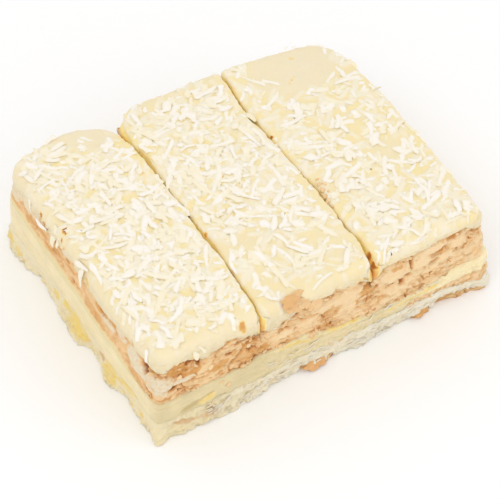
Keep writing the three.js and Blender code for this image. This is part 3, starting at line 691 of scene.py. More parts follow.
crust_line = partial(wall_line, "crust_top")
cream_line = partial(wall_line, "cream_top", recess=SEAM_RECESS)
thin_pastry_foot = partial(wall_line, "cream_top", recess=1.0)
thin_pastry_line = partial(wall_line, "thin_pastry_top", recess=1.0)
custard_line = partial(wall_line, "custard_top")


def cream_foot(turn):
    """The lower edge of the cream, drawn down over the base where it hangs."""
    height, reach = crust_line(turn)
    veil = cream_veil(turn)
    foot = flare(turn, VEIL_FLARE_HEIGHT)
    return height + (VEIL_FOOT - height) * veil, reach + (foot - reach) * veil


def custard_foot(turn):
    """The lower edge of the custard, drawn down where it hides the thin pastry."""
    top = layer_line("thin_pastry_top", turn)
    low = layer_line("cream_top", turn)
    height = top + (low - 0.1 - top) * custard_veil(turn)
    return height, flare(turn, height) - SEAM_RECESS * read_round(THIN_PASTRY_RECESS, turn)


def pastry_line(turn):
    """The top of the flaky pastry, tucked up behind the hem of the icing."""
    place, _ = spot_at(turn)
    height = np.maximum(layer_line("flaky_top", turn), hem_height(place[:, 0], place[:, 1]) + 1.3)
    fill = read_along(CORNER_FILL, reach_from_corner(turn)) * 0.5
    return height, fill - 0.7


def marks_at(marks, distance, height, ragged):
    """How much of a set of marks lies at places on the wall, from 0 to 1."""
    total = np.zeros_like(distance)
    for along, middle, half_width, half_height, slope in marks:
        aside = distance - along
        away = np.hypot(aside / half_width, (height - middle - slope * aside) / half_height)
        total = np.maximum(total, ease(1.2, 0.75, away + 0.35 * ragged))
    return total


# ---- mesh helpers ----

def deselect_all():
    if bpy.context.mode != "OBJECT":
        bpy.ops.object.mode_set(mode="OBJECT")
    bpy.ops.object.select_all(action="DESELECT")


def pick(piece):
    deselect_all()
    piece.select_set(True)
    bpy.context.view_layer.objects.active = piece


def new_grid(name, columns, rows):
    """A flat grid, and the column and row of each of its corners."""
    deselect_all()
    bpy.ops.mesh.primitive_grid_add(x_subdivisions=columns, y_subdivisions=rows, size=2)
    piece = bpy.context.active_object
    piece.name = piece.data.name = name
    return piece, *grid_steps(piece, columns, rows)


def grid_steps(piece, columns, rows):
    """The column and row of each corner of a flat grid that runs from -1 to 1."""
    flat = corners_of(piece)
    column = np.rint((flat[:, 0] + 1) / 2 * columns).astype(int)
    row = np.rint((flat[:, 1] + 1) / 2 * rows).astype(int)
    return column, row


def corners_of(piece):
    """Places of a piece's corners, one in each row."""
    flat = np.zeros(len(piece.data.vertices) * 3, np.float32)
    piece.data.vertices.foreach_get("co", flat)
    return flat.reshape(-1, 3).astype(float)


def in_frame(points, keep_inside=True):
    """Places on the slab, in millimetres, as places in the frame, within the solids' box."""
    moved = (points + np.array([SLAB_SHIFT[0], SLAB_SHIFT[1], 0.0])) * MM
    low, high = np.array(CAD_BOX)
    return np.clip(moved, low, high) if keep_inside else moved


def place_corners(piece, points, keep_inside=True):
    """Moves a piece's corners to places on the slab, given in millimetres."""
    piece.data.vertices.foreach_set("co", in_frame(points, keep_inside).astype(np.float32).ravel())
    piece.data.update()


def paint(piece, **values):
    """
    Stores named values on a piece's corners for its material to read. Where a value isn't
    stored, the material reads 0.
    """
    for name, value in values.items():
        layer = piece.data.attributes.new(name, "FLOAT", "POINT")
        layer.data.foreach_set("value", np.asarray(value, np.float32))


@contextmanager
def editing(piece):
    """Edit mode for a piece, with all of it selected."""
    pick(piece)
    bpy.ops.object.mode_set(mode="EDIT")
    bpy.ops.mesh.select_all(action="SELECT")
    yield
    bpy.ops.object.mode_set(mode="OBJECT")


def face_out(piece):
    """Turns a piece's faces outwards."""
    with editing(piece):
        bpy.ops.mesh.normals_make_consistent(inside=False)


def close_up(piece):
    """Joins a rolled sheet along its seam and fills its two ends."""
    with editing(piece):
        bpy.ops.mesh.remove_doubles(threshold=1e-7)
        bpy.ops.mesh.fill_holes(sides=0)
        bpy.ops.mesh.select_all(action="SELECT")
        bpy.ops.mesh.normals_make_consistent(inside=False)
    bpy.ops.object.shade_smooth()


def shade(piece, degrees):
    """Smooth shading that keeps edges sharper than an angle."""
    pick(piece)
    bpy.ops.object.shade_smooth_by_angle(angle=math.radians(degrees))


class Pattern:
    """A small piece modelled once, of which many copies are strewn. rim is 1 at its edges."""

    def __init__(self, piece):
        face_out(piece)
        self.corners = corners_of(piece)
        self.faces = [tuple(face.vertices) for face in piece.data.polygons]
        self.rim = np.zeros(len(self.corners))
        bpy.data.objects.remove(piece)

    @classmethod
    def thickened(cls, piece):
        """A flat piece made one thick, with half of that on each side of its plane."""
        with editing(piece):
            bpy.ops.mesh.extrude_region_move(TRANSFORM_OT_translate={"value": (0, 0, 1)})
            bpy.ops.mesh.select_all(action="SELECT")
            bpy.ops.transform.translate(value=(0, 0, -0.5))
        return cls(piece)

    def dome(self):
        """Draws the edges thinner and lower than the middle."""
        along, across = np.abs(self.corners[:, 0]), np.abs(self.corners[:, 1])
        self.rim = np.maximum(ease(0.2, 0.5, across), ease(0.4, 0.5, along))
        self.corners[:, 2] = self.corners[:, 2] * (1 - 0.7 * self.rim) - 0.35 * self.rim

    def round_off(self):
        """Draws a square plan in to a round one."""
        flat = self.corners[:, :2]
        square = np.maximum(np.abs(flat[:, 0]), np.abs(flat[:, 1]))
        spread = np.hypot(flat[:, 0], flat[:, 1])
        flat *= (square / np.maximum(spread, 1e-6))[:, None]


class Heap:
    """Copies of patterns gathered into one mesh."""

    def __init__(self):
        self.corners, self.faces, self.values, self.count = [], [], [], 0

    def add(self, pattern, points, **values):
        """Adds a copy of a pattern with its corners at points, and values to paint on it."""
        self.faces += [tuple(self.count + n for n in face) for face in pattern.faces]
        self.corners.append(points)
        self.values.append((len(points), values))
        self.count += len(points)

    def mesh(self, name, sharp=40):
        """Makes the heap one piece, with edges sharper than an angle in degrees kept."""
        data = bpy.data.meshes.new(name)
        data.from_pydata(in_frame(np.vstack(self.corners)).tolist(), [], self.faces)
        data.update()
        piece = bpy.data.objects.new(name, data)
        bpy.context.scene.collection.objects.link(piece)
        for key in self.values[0][1]:
            spread = [np.full(count, values[key]) for count, values in self.values]
            paint(piece, **{key: np.concatenate(spread)})
        face_out(piece)
        shade(piece, sharp)
        return piece


def finish_piece(piece, material, replaced=()):
    """Gives a piece its finish, its body and the nodes that it takes the place of."""
    piece.data.materials.clear()
    piece.data.materials.append(material)
    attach(piece, "root")
    if replaced:
        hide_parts(*replaced)
    return piece


# ---- layers ----

def layer_band(name, bottom, top, step, relief):
    """
    A layer as a sheet rolled round the slab and closed over its top and bottom. Its bottom
    and top lines give height and reach by turn. relief(points, share, turn) gives how
    far the wall stands out, and what to paint.
    """
    columns = int(OUTLINE_LENGTH / step[0])
    survey = np.linspace(0, 1, 199)
    tall = float(np.mean(top(survey)[0] - bottom(survey)[0]))
    levels = max(6, int(tall / step[1]))
    piece, column, row = new_grid(name, columns, levels + 4)
    turn = (column % columns) / columns
    low, low_reach = bottom(turn)
    high, high_reach = top(turn)
    share = unit((row - 2) / levels)
    spot, out = spot_at(turn)
    height = low + (high - low) * share
    reach = low_reach + (high_reach - low_reach) * share
    straight = (1 - share) * extra_foot(turn, low) + share * extra_foot(turn, high)
    reach = reach + extra_foot(turn, height) - straight
    wall = np.column_stack([spot + out * reach[:, None], height])
    stand, values = relief(wall, share, turn)
    on_floor = bottom is ground_line
    under, over = row == 1, row == levels + 3
    tuck = FLOOR_TUCK if on_floor else HIDDEN_TUCK
    stand = stand - np.where(under, tuck, 0) - np.where(over, HIDDEN_TUCK, 0)
    lift = np.where(over, HIDDEN_OVERLAP, 0) - np.where(under & (not on_floor), HIDDEN_OVERLAP, 0)
    wall = np.column_stack([spot + out * (reach + stand)[:, None], height + lift])
    heart = (row == 0) | (row == levels + 4)
    middle = np.where(row == 0, np.mean(low), np.mean(high))
    points = np.where(heart[:, None], np.column_stack([spot * HEART_SCALE, middle]), wall)
    points[:, 2] = np.maximum(points[:, 2], 0.0)
    place_corners(piece, points)
    paint(piece, **values)
    close_up(piece)
    return piece


def flaky_relief(points, share, turn):
    """
    Baked leaves lying on each other, each standing out by its own amount, with crumbled
    places, pits and smears of icing, and painted shade in seams, gaps, crevices and pits. On
    the left side they are smeared over.
    """
    height, distance = points[:, 2], reach_from_corner(turn)
    smeared = window(-128, -112, -8, -2, distance)
    warp = np.column_stack([noise(points, (7, 7, 4), 220 + n) for n in range(3)])
    bent = points + warp * np.array([1.6, 1.6, 1.2])
    ragged = noise(points, 1.5, 240) + 0.5 * noise(points, 0.8, 241)
    smooth = marks_at(SMOOTH_LEAVES, distance, height, ragged)
    golden = marks_at(GOLDEN_LEAVES, distance, height, ragged)
    pits = marks_at(SHADED_PITS, distance, height, ragged)
    smear = marks_at(WHITE_SMEARS, distance, height, ragged)

    leaf = bent[:, 2] / LEAF_THICKNESS
    number = np.floor(leaf)
    part = leaf - number
    along = np.column_stack([bent[:, 0], bent[:, 1], 7.0 * number])
    proud = noise(along, (5.5, 5.5, 1), 249) + 0.5 * noise(along, (1.8, 1.8, 1), 250)
    seam = ease(0.24, 0.0, np.minimum(part, 1 - part)) * ease(-0.7, 0.1, noise(along, (4, 4, 1), 251))
    border, chunk, slope = cells(bent, (8.0, 8.0, 3.4), 221)
    small_border, small, small_slope = cells(bent, (2.6, 2.6, 1.1), 252)
    crumbly = ease(-0.05, 0.5, noise(points, (9, 9, 4), 242) + 0.25 * noise(points, 3, 243))
    crumbly = unit(crumbly - smooth)
    gap = ease(0.13, 0.02, border) * ease(-0.2, 0.4, noise(points, 4, 244)) * (1 - 0.8 * smooth)
    deep = ease(0.9, 0.97, small) * crumbly
    grains, grain, grain_slope = cells(points, (1.5, 1.5, 0.9), 255)
    rough = (0.35 + 0.65 * crumbly) * (1 - 0.8 * smooth) * (1 - 0.5 * golden)
    stand = (
        0.8 * (chunk - 0.5) + 0.7 * slope + 0.5 * proud - 0.28 * seam - 0.5 * gap
        + rough * (0.5 * (grain - 0.5) + 0.4 * grain_slope)
        + crumbly * (0.75 * (small - 0.55) + 0.6 * small_slope) - 0.8 * deep
        + 0.14 * ragged * (0.5 + crumbly) + 0.4 * noise(points, 13, 247)
    )
    stand = stand * (1 - 0.72 * smooth) + 0.6 * smooth
    stand = stand * (1 - 0.5 * golden) + 0.2 * golden
    stand = stand * (1 - 0.8 * smeared) + 0.1 * smeared - 1.5 * pits
    coat = 0.7 + 0.3 * noise(points, 3.2, 248) + 0.14 * ragged + 0.3 * stand
    cover = smear * ease(-0.7, 0.5, noise(points, 2.2, 253) + 0.6 * smear) * (1 - pits)
    stand = stand + (np.maximum(coat, stand) - stand) * 0.8 * cover
    # hollow is painted shade: darkest in seams, gaps, crumbled crevices and pits, and less on smooth
    # leaves and under smears.
    hollow = (
        0.24 * seam + 0.4 * gap + 0.5 * deep + 0.16 * crumbly + 0.16 * unit(-proud)
        + crumbly * 0.3 * ease(0.2, 0.0, small_border) + 0.08 * ragged
    )
    hollow = hollow + rough * (0.3 * (0.55 - grain) + 0.22 * ease(0.16, 0.02, grains))
    hollow = hollow + 0.12 * ease(48, 20, distance) * ease(3, 8, distance)
    hollow = hollow - 0.13 * ease(55, 80, distance)
    hollow = hollow * (1 - 0.7 * smooth)
    hollow = hollow + (0.36 + 0.14 * ragged - hollow) * 0.7 * smeared
    hollow = unit(hollow * (1 - 0.75 * cover) + 0.85 * pits)
    tint = unit(0.5 + (0.4 * (chunk - 0.5) + 0.3 * proud) * (1 - 0.6 * smeared))
    gilt = unit(golden + 0.6 * ease(0.86, 0.92, chunk) * (1 - smooth)) * (1 - cover)
    above = height - custard_line(turn)[0]
    drawn = ease(0.5, -0.3, above - read_along(DRAWN_UP, distance) + 0.35 * ragged)
    stand = stand + (0.6 - stand) * drawn
    return stand, dict(hollow=hollow * (1 - drawn), leaf=tint, golden=gilt * (1 - drawn),
                       drawn=drawn, smear=cover)


def squeezed_out(distance):
    """How much of a squeezed-out blob the foot is at a distance, from 0 to 1."""
    return unit((read_along(FOOT_REACH, distance) - BLOB_REACH[0]) / BLOB_REACH[1])


def whipped(points, distance):
    """
    The face that custard and cream share: how far it stands out, how torn it is and how
    much painted shade lies in its dents and pockets. It depends on the place alone, so the two
    layers meet without a step.
    """
    height = points[:, 2]
    ragged = noise(points, 1.5, 240)
    front = window(28, 44, 112, 126, distance)
    low_front = window(-1, 3, 128, 135, distance) * ease(10.5, 8.5, height)
    low_left = 0.4 * ease(0, -5, distance) * ease(7, 3, height)
    blob = squeezed_out(distance) * ease(8, 5, height)
    torn = unit(np.maximum(front, low_front) + low_left + 0.8 * blob)
    fibre = layered(points, (6, 6, 0.8), 3, 401)
    lump = layered(points, 4.0, 3, 402)
    fine = layered(points, 1.1, 2, 403)
    bent = points + 0.6 * np.column_stack([noise(points, 3.0, 410 + n) for n in range(3)])
    border, number, slope = cells(bent, (3.0, 3.0, 1.7), 404)
    pocket = marks_at(POCKETS, distance, height, 0.5 * ragged)
    tatter = ease(4.5, 0.5, height) * ease(8, 20, distance) * ease(118, 104, distance)
    stand = 0.22 * lump + 0.08 * fibre + 0.06 * fine
    tearing = 0.22 * fibre + 0.2 * lump + 0.18 * fine + 0.24 * slope + 0.2 * (number - 0.5)
    stand = stand + torn * tearing
    grain = noise(points, 0.85, 411)
    stand = stand + 0.8 * tatter * (0.7 * fine + 0.6 * ragged) + 0.5 * blob * (slope + fine)
    stand = stand + 0.22 * grain * unit(torn + ease(9, 5, height))
    near_end = window(118, 128, 140, 160, distance)
    near_floor = np.maximum(ease(8, 3, height), near_end)
    near_floor = np.maximum(near_floor, low_front * ease(50, 30, distance))
    clots = 0.75 * noise(points, (2.0, 2.0, 1.3), 412) + 0.5 * noise(points, 0.85, 413)
    stand = stand + near_floor * clots
    stand = stand - 0.9 * pocket + 0.6 * ease(2, 8, height)
    # The dents' value below is painted shade: darker in the valleys of fibres and lumps, at cell
    # borders, in the pockets and near the front left corner.
    dent_shade = 0.1 - 0.75 * fibre - 0.5 * lump - 0.35 * fine + 0.3 * ease(0.15, 0, border) - 0.2 * grain
    dent_shade = 0.6 * torn * unit(dent_shade + 0.3 * ease(40, 20, distance) * ease(0, 4, distance))
    return stand, torn, unit(dent_shade + 0.75 * pocket)


def thin_pastry_relief(points, share, turn):
    """A thin granular edge of pastry."""
    ragged = noise(points, 1.3, 260)
    bent = points + 0.5 * noise(points, 2, 261)[:, None]
    border, number, slope = cells(bent, (2.2, 2.2, 1.0), 262)
    gap = ease(0.2, 0.02, border)
    distance = reach_from_corner(turn)
    at_end = window(120, 128, 134, 150, distance)
    stand = 0.8 * (number - 0.4) + 0.7 * slope - 0.3 * gap + 0.5 * ragged + 0.3
    stand = stand + at_end * (0.5 + 0.7 * noise(points, 1.8, 263) + 0.5 * noise(points, 0.9, 264))
    # hollow is painted shade in the gaps between the grains.
    hollow = 0.35 * gap + 0.12 * ragged + 0.12
    return stand, dict(hollow=unit(hollow), leaf=number)


def custard_relief(points, share, turn):
    """Smooth custard with slow waves, torn like the cream along the middle of the front."""
    distance = reach_from_corner(turn)
    stand, torn, dent_shade = whipped(points, distance)
    yellow = marks_at(YELLOW_STREAKS, distance, points[:, 2], noise(points, 1.5, 240))
    streak = layered(points, (11, 11, 0.8), 2, 301)
    stand = stand + 0.35 * np.sin(np.pi * share) * share * (1 - torn) + 0.05 * streak
    rich = read_along(CUSTARD_RICHNESS, distance)
    rich = unit(rich + 0.12 * streak + 0.15 * noise(points, 5, 306) + 0.7 * yellow)
    # hollow carries the painted shade of the dents.
    return stand, dict(hollow=dent_shade, rich=rich, yellow=yellow)


def cream_relief(points, share, turn):
    """Whipped cream pulled by the knife: fibres, lumps and squeezed-out blobs."""
    height, distance = points[:, 2], reach_from_corner(turn)
    ragged = noise(points, 1.5, 240)
    stand, _, dent_shade = whipped(points, distance)
    yellow = marks_at(YELLOW_STREAKS, distance, height, ragged)
    tan = marks_at(TAN_SPOTS, distance, height, ragged)
    blobby = squeezed_out(distance) * ease(2, -2, distance)
    rich = read_along(CREAM_RICHNESS, distance)
    specks = ease(0.35, 0.6, noise(points, (2.4, 2.4, 1.6), 407)) * ease(0, -6, distance)
    rich = rich + 0.15 * noise(points, 4, 408) + 0.45 * yellow + 0.15 * blobby
    yellow = unit(yellow + 0.6 * specks * ease(8, 4, height))
    # hollow carries the painted shade of the dents.
    return stand, dict(hollow=dent_shade, rich=unit(rich), yellow=yellow, tan=tan)


def crust_relief(points, share, turn):
    """The baked base: thin ragged leaves, pushed out where the cream leaves them bare."""
    distance = reach_from_corner(turn)
    ragged = layered(points, (3, 3, 1.0), 3, 502)
    border, number, slope = cells(points, (4, 4, 1.2), 501)
    gap = ease(0.2, 0.02, border)
    bare = 1 - read_along(CREAM_VEIL, distance)
    stand = 0.9 * (number - 0.6) + 0.7 * slope + 0.5 * ragged - 0.4 * gap - 1.5 + 1.9 * bare
    stand = stand + bare * (0.5 * noise(points, 2.2, 503) + 0.4 * noise(points, 0.9, 504))
    # hollow is painted shade in the gaps between the leaves, a little lighter where the crust is bare.
    hollow = unit(0.4 * gap + 0.2 + 0.25 * ragged - 0.1 * bare)
    golden = window(98, 101, 109, 112, distance)
    return stand, dict(hollow=hollow, leaf=number, golden=golden)


def score(piece):
    """Cuts the two score lines into the top pastry."""
    profile = np.array(WEDGE_PROFILE)
    for cut in CUTS:
        wedge, column, corner = new_grid("score_wedge", WEDGE_STEPS, len(profile))
        corner = corner % len(profile)
        length = BACK_EDGE_LEFT - FRONT_EDGE + 2 * WEDGE_OVERRUN
        y = FRONT_EDGE - WEDGE_OVERRUN + column * length / WEDGE_STEPS
        pastry_top = np.mean(read_round(BOUNDARIES["flaky_top"], np.linspace(0, 1, 99)))
        floor = float(pastry_top) - CUT_DEPTH
        wide = np.clip(cut_opening(y, cut), 0.9, 2.6)
        across = cut + cut_drift(y, cut) + profile[corner, 0] * wide
        points = np.column_stack([across, y, floor + profile[corner, 1] * CUT_DEPTH])
        wobble = np.column_stack([noise(points, 2.2, 91), 0 * y, noise(points, 3, 92)])
        place_corners(wedge, points + 0.3 * wobble, keep_inside=False)
        # The wedge's faces become the cut's walls and carry its paint: hollow 0.6 is painted shade in
        # the cut.
        paint(wedge, hollow=np.full(len(points), 0.6), leaf=np.full(len(points), 0.5))
        close_up(wedge)
        pick(piece)
        cutter = piece.modifiers.new("score", "BOOLEAN")
        cutter.object = wedge
        cutter.operation = "DIFFERENCE"
        cutter.solver = "EXACT"
        bpy.ops.object.modifier_apply(modifier="score")
        bpy.data.objects.remove(wedge)


# ---- icing ----

def cut_drift(y, cut):
    """Sideways drift of a score line at a distance along it."""
    return read_along(CUT_DRIFT[cut], y)


def cut_opening(y, cut):
    """Width of a score line at a distance along it."""
    return read_along(CUT_OPENING[cut], y)


def back_at(x):
    """Where the back edge of the icing runs, by place along it."""
    uneven = 0.35 * noise_along(x, 0 * x, 6, 630) + 0.3 * noise_along(x, 0 * x, 1.8, 631)
    return read_along(BACK_LINE, x) + uneven


def front_at(x):
    """Where the front edge of the icing runs, by place along it."""
    uneven = 0.45 * noise_along(x, 0 * x, 6, 632) + 0.3 * noise_along(x, 0 * x, 1.6, 633)
    return FRONT_EDGE - ICING_OVERHANG + uneven


def side_at(strip, right, y):
    """Where a strip's left or right side runs, by distance along it."""
    cut = strip["cuts"][1 if right else 0]
    side = 640 + strip["seed"] * 2 + int(right)
    slow, quick = noise_along(0 * y, y, 4.5, side), noise_along(0 * y, y, 1.5, side + 50)
    if cut is not None:
        ragged = 0.16 * slow + (0.26 if right else 0.12) * quick
        half = cut_opening(y, cut) / 2
        return cut + cut_drift(y, cut) + (-half if right else half) + ragged
    ragged = 0.4 * slow + 0.3 * quick
    if right:
        bow = SIDE_SWELL * np.cos((y - 2) / 54 * (np.pi / 2))
        return HALF_LENGTH + ICING_OVERHANG + bow + ragged
    return -HALF_LENGTH - ICING_OVERHANG + ragged


def strip_sides(strip):
    """Where a strip's left and right sides run half way along it."""
    return tuple(float(side_at(strip, right, np.zeros(1))[0]) for right in (False, True))


def corner_inset(radius, distance):
    """How far a round corner pulls an edge in, at a distance from the corner's end."""
    short = np.clip(radius - distance, 0, radius)
    return radius - np.sqrt(np.maximum(radius**2 - short**2, 0))


def strip_reach(strip, y, near_front, near_back):
    """Left and right ends of a strip at a distance along it, with its corners rounded."""
    left = side_at(strip, False, y)
    right = side_at(strip, True, y)
    insets = [corner_inset(strip["back"][side], near_back) for side in (0, 1)]
    front_insets = [corner_inset(strip["front"][side], near_front) for side in (0, 1)]
    return left + insets[0] + front_insets[0], right - insets[1] - front_insets[1]


def shoulder_drop(strip, from_left, from_right, from_front, from_back):
    """How far the rounded edges lie below the icing's top."""
    radius_left, radius_right = strip["shoulders"]
    into_left = unit(1 - from_left / radius_left)
    into_right = unit(1 - from_right / radius_right)
    side = np.maximum(into_left, into_right)
    side_radius = np.where(into_left > into_right, radius_left, radius_right)
    end = unit(1 - np.minimum(from_front, from_back) / END_SHOULDER)
    both = side**2 + end**2
    radius = (side**2 * side_radius + end**2 * END_SHOULDER) / np.maximum(both, 1e-9)
    return radius * (1 - np.sqrt(unit(1 - both)))


@lru_cache(maxsize=None)
def buried_map(key):
    """Shreds sunk in a strip's icing, as a plan of how much each place is raised by them."""
    strip = STRIPS[key]
    rng = np.random.default_rng(40 + strip["seed"])
    left, right = strip_sides(strip)
    left = left - BURIED_MARGIN
    columns = int((right + BURIED_MARGIN - left) / BURIED_STEP)
    rows = int((BACK_EDGE_LEFT - FRONT_EDGE + 2 * BURIED_MARGIN) / BURIED_STEP)
    raised = np.zeros((columns, rows))
    for _ in range(BURIED_COUNT):
        x, y = left + rng.uniform(3, columns * BURIED_STEP - 3), FRONT_EDGE + rng.uniform(-1, 108)
        if rng.random() > float(coconut_cover(key, np.array([x]), np.array([y]))[0]):
            continue
        half = rng.uniform(0.8, 4.5)
        width = rng.uniform(1.0, 2.2)
        heading = rng.uniform(0, np.pi)
        rise = rng.uniform(0.4, 1.0)
        span = int((half + 3) / BURIED_STEP)
        column = int((x - left) / BURIED_STEP)
        row = int((y - FRONT_EDGE + BURIED_MARGIN) / BURIED_STEP)
        box = (slice(max(column - span, 0), column + span), slice(max(row - span, 0), row + span))
        at = np.indices(raised[box].shape).astype(float)
        dx = (at[0] + box[0].start) * BURIED_STEP + left - x
        dy = (at[1] + box[1].start) * BURIED_STEP + FRONT_EDGE - BURIED_MARGIN - y
        along = dx * math.cos(heading) + dy * math.sin(heading)
        across = -dx * math.sin(heading) + dy * math.cos(heading)
        away = np.hypot(np.maximum(np.abs(along) - half, 0), across)
        raised[box] = np.maximum(raised[box], rise * ease(width / 2 + 0.5, width / 2 - 0.3, away))
    return left, raised


def buried_at(key, x, y):
    """How much sunk shreds raise a strip's icing at places on it, from 0 to 1."""
    left, raised = buried_map(key)
    return read_plan(raised, (x - left) / BURIED_STEP, (y - FRONT_EDGE + BURIED_MARGIN) / BURIED_STEP)


def icing_top(strip, x, y):
    """Height of the icing before its edges are rounded and its lumps are added."""
    waves = 0.45 * np.sin(x / 9 + 1.3) * np.sin(y / 13 + 0.4) + 0.35 * np.sin(x / 17 - y / 11)
    corner = np.hypot(side_at(strip, True, y) - x, back_at(x) - y)
    droop = strip["droop"] * np.exp(-((corner / DROOP_REACH) ** 2))
    return ICING_TOP - 0.2 + waves - droop


def icing_lumps(key, x, y):
    """Small unevenness of the icing: soft lumps, finer ones, and the shreds sunk in it."""
    cover = coconut_cover(key, x, y)
    soft = 0.26 * noise_along(x, y, 8, 601) + 0.16 * noise_along(x, y, 3.4, 602)
    fine = 0.14 * noise_along(x, y, 1.5, 603) * (0.3 + cover)
    return soft + fine + 0.3 * buried_at(key, x, y) - 0.1 * cover


def icing_surface(key, x, y):
    """Height of the icing's skin anywhere over a strip."""
    strip = STRIPS[key]
    near_front = np.maximum(y - front_at(x), 0)
    near_back = np.maximum(back_at(x) - y, 0)
    left, right = strip_reach(strip, y, near_front, near_back)
    from_left, from_right = np.maximum(x - left, 0), np.maximum(right - x, 0)
    drop = shoulder_drop(strip, from_left, from_right, near_front, near_back)
    return icing_top(strip, x, y) - drop + icing_lumps(key, x, y)


def hem_height(x, y):
    """Height of the icing's ragged lower edge, by place along the outside."""
    other = 32.2 + 1.2 * np.sin(x / 6.1 + y / 7.3) + 0.9 * np.sin(x / 3.4 - y / 4.7)
    at_front = ease(-46, -50, y)
    at_left = ease(-58, -63, x) * (1 - at_front)
    hem = read_along(FRONT_HEM, x) * at_front + read_along(LEFT_HEM, y) * at_left
    ragged = 0.8 * noise_along(x, y, 2.8, 611) + 0.7 * noise_along(x, y, 1.2, 612)
    return hem + other * (1 - at_front - at_left) + ragged * (1 - 0.5 * at_left)


def stains_at(points):
    """How brown the spots on the icing are at places on it, from 0 to 1."""
    ragged = 0.3 * noise(points, 0.9, 626)
    brown = np.zeros(len(points))
    for place, radius, strength in STAINS:
        away = np.linalg.norm((points - np.array(place)) * (0.7, 0.7, 0.6), axis=1) / radius
        brown = np.maximum(brown, strength * ease(1.15, 0.5, away + ragged))
    return brown


def spaced(count, length, near, far, edge_count=9):
    """Places across a strip, close together over its rounded edges."""
    bend = 1 - np.cos(np.linspace(0, np.pi / 2, edge_count))
    inner = np.linspace(near, length - far, count - 2 * edge_count + 3)[1:-1]
    return np.concatenate([bend * near, inner, (length - bend * far)[::-1]])


def skirted_grid(name, columns, rows, skirt):
    """
    A grid with its rim drawn down in steps and closed below, and the column, row and level of
    each of its corners.
    """
    piece = new_grid(name, columns, rows)[0]
    with editing(piece):
        bpy.ops.mesh.select_mode(type="EDGE")
        bpy.ops.mesh.select_all(action="DESELECT")
        bpy.ops.mesh.select_non_manifold()
        for _ in range(skirt):
            bpy.ops.mesh.extrude_region_move(TRANSFORM_OT_translate={"value": (0, 0, -1)})
        bpy.ops.mesh.select_all(action="SELECT")
        bpy.ops.mesh.fill_holes(sides=0)
    level = np.rint(-corners_of(piece)[:, 2]).astype(int)
    return piece, *grid_steps(piece, columns, rows), level


def icing_strip(key):
    """One strip of icing: a grid for its top, with its rim drawn down into a ragged skirt."""
    strip = STRIPS[key]
    columns, rows, wall_levels = STRIP_COLUMNS, STRIP_ROWS, SKIRT_STEPS - FOLD_STEPS
    piece, column, row, level = skirted_grid(f"icing_strip_{key}", columns, rows, SKIRT_STEPS)
    left, right = strip_sides(strip)
    width = right - left
    depth = BACK_EDGE_LEFT - FRONT_EDGE
    across = spaced(columns, width, *strip["shoulders"])[column] / width
    along = spaced(rows, depth, END_SHOULDER, END_SHOULDER)[row] / depth
    near_front, near_back = along * depth, (1 - along) * depth
    y = FRONT_EDGE - ICING_OVERHANG + along * (depth + 2 * ICING_OVERHANG)
    left, right = strip_reach(strip, y, near_front, near_back)
    x = left + across * (right - left)
    y = front_at(x) + along * (back_at(x) - front_at(x))
    drop = shoulder_drop(strip, x - left, right - x, near_front, near_back)
    rim = icing_top(strip, x, y) - drop + icing_lumps(key, x, y) * (1 - 0.4 * ease(2.5, 4.0, drop))

    down = unit(level / wall_levels)
    opening, beside_cut = np.full(len(x), 0.8), np.zeros(len(x), bool)
    for edge, cut in zip((0, columns), strip["cuts"]):
        if cut is not None:
            opening = np.where(column == edge, cut_opening(y, cut), opening)
            beside_cut |= column == edge
    at_end = (row == 0) | (row == rows)
    outside = at_end | ~beside_cut
    hem = np.where(outside, hem_height(x, y), HEM_IN_CUT)
    hem = np.minimum(hem, rim - 2.0)
    z = rim + (hem - rim) * down
    ends = np.column_stack([column == columns, row == rows])
    way = ends.astype(float) - np.column_stack([column == 0, row == 0])
    way /= np.maximum(np.linalg.norm(way, axis=1, keepdims=True), 1)
    points = np.column_stack([x, y, z])
    crumbs = np.maximum(noise(points, (1.6, 1.6, 1.6), 622), -0.2) + 0.6 * noise(points, 0.8, 624)
    drape = (0.25 * np.sin(np.pi * down) + 0.4 * noise(points, (3.4, 3.4, 4), 621)
             + 0.4 * crumbs + 0.16 * noise(points, (0.9, 0.9, 2.6), 627) - 0.7 * down**3)
    closing = 0.5 + 0.9 * opening + 4 * ease(-48, -51.5, y)
    close = (opening / 2 - 0.06) * ease(0.2, 1.0, (rim - z) / closing) * (rim - z > 0)
    sag = np.where(outside, drape * ease(0, 0.15, down), close + 0.12 * noise(points, 2.0, 623) * down)
    fold = np.clip(level - wall_levels, 0, FOLD_STEPS)
    tuck, rise = np.array(FOLD_TUCK)[fold], np.array(FOLD_RISE)[fold]
    points[:, :2] += way * ((sag - tuck) * (level > 0))[:, None]
    innermost = level == SKIRT_STEPS
    points[:, 2] = np.where(innermost, np.maximum(z + rise, SKIRT_FLOOR), z + rise)
    place_corners(piece, points)
    cover = coconut_cover(key, x, y)
    # The cut value is painted light and shade on the icing's walls in the cuts: a golden glow that
    # deepens and browns towards the bottom, and a little on the rounded edge beside each cut.
    in_cut = beside_cut & ~at_end & (level > 0)
    depth_in_cut = unit((rim - points[:, 2]) / 4.5)
    brown = ease(0.25, 0.6, noise_along(x, y, 5, 625)) * 0.25
    painted_cut_glow = np.where(in_cut, unit(0.2 + 0.6 * depth_in_cut + brown * depth_in_cut), 0)
    cut_edge = 0.2 * ease(0.5, 1.1, drop) * (beside_cut & (level == 0))
    # side is painted shade, in specks, down the outer skirt and over the rounded edges.
    side = np.where(outside, 0.35 * (level > 0) + 0.65 * down, 0) + 0.4 * ease(0.8, 3.4, drop)
    sunk = buried_at(key, x, y)
    # gap is painted shade on the icing between the shreds, where they lie thick and are not sunk.
    paint(piece, stain=stains_at(points), gap=cover * (1 - sunk) * (level == 0),
          sunk=sunk * (level == 0), side=side, cut=painted_cut_glow * (1 - 0.8 * ease(48, 54, y)) + cut_edge)
    face_out(piece)
    bpy.ops.object.shade_smooth()
    return piece


# ---- coconut ----

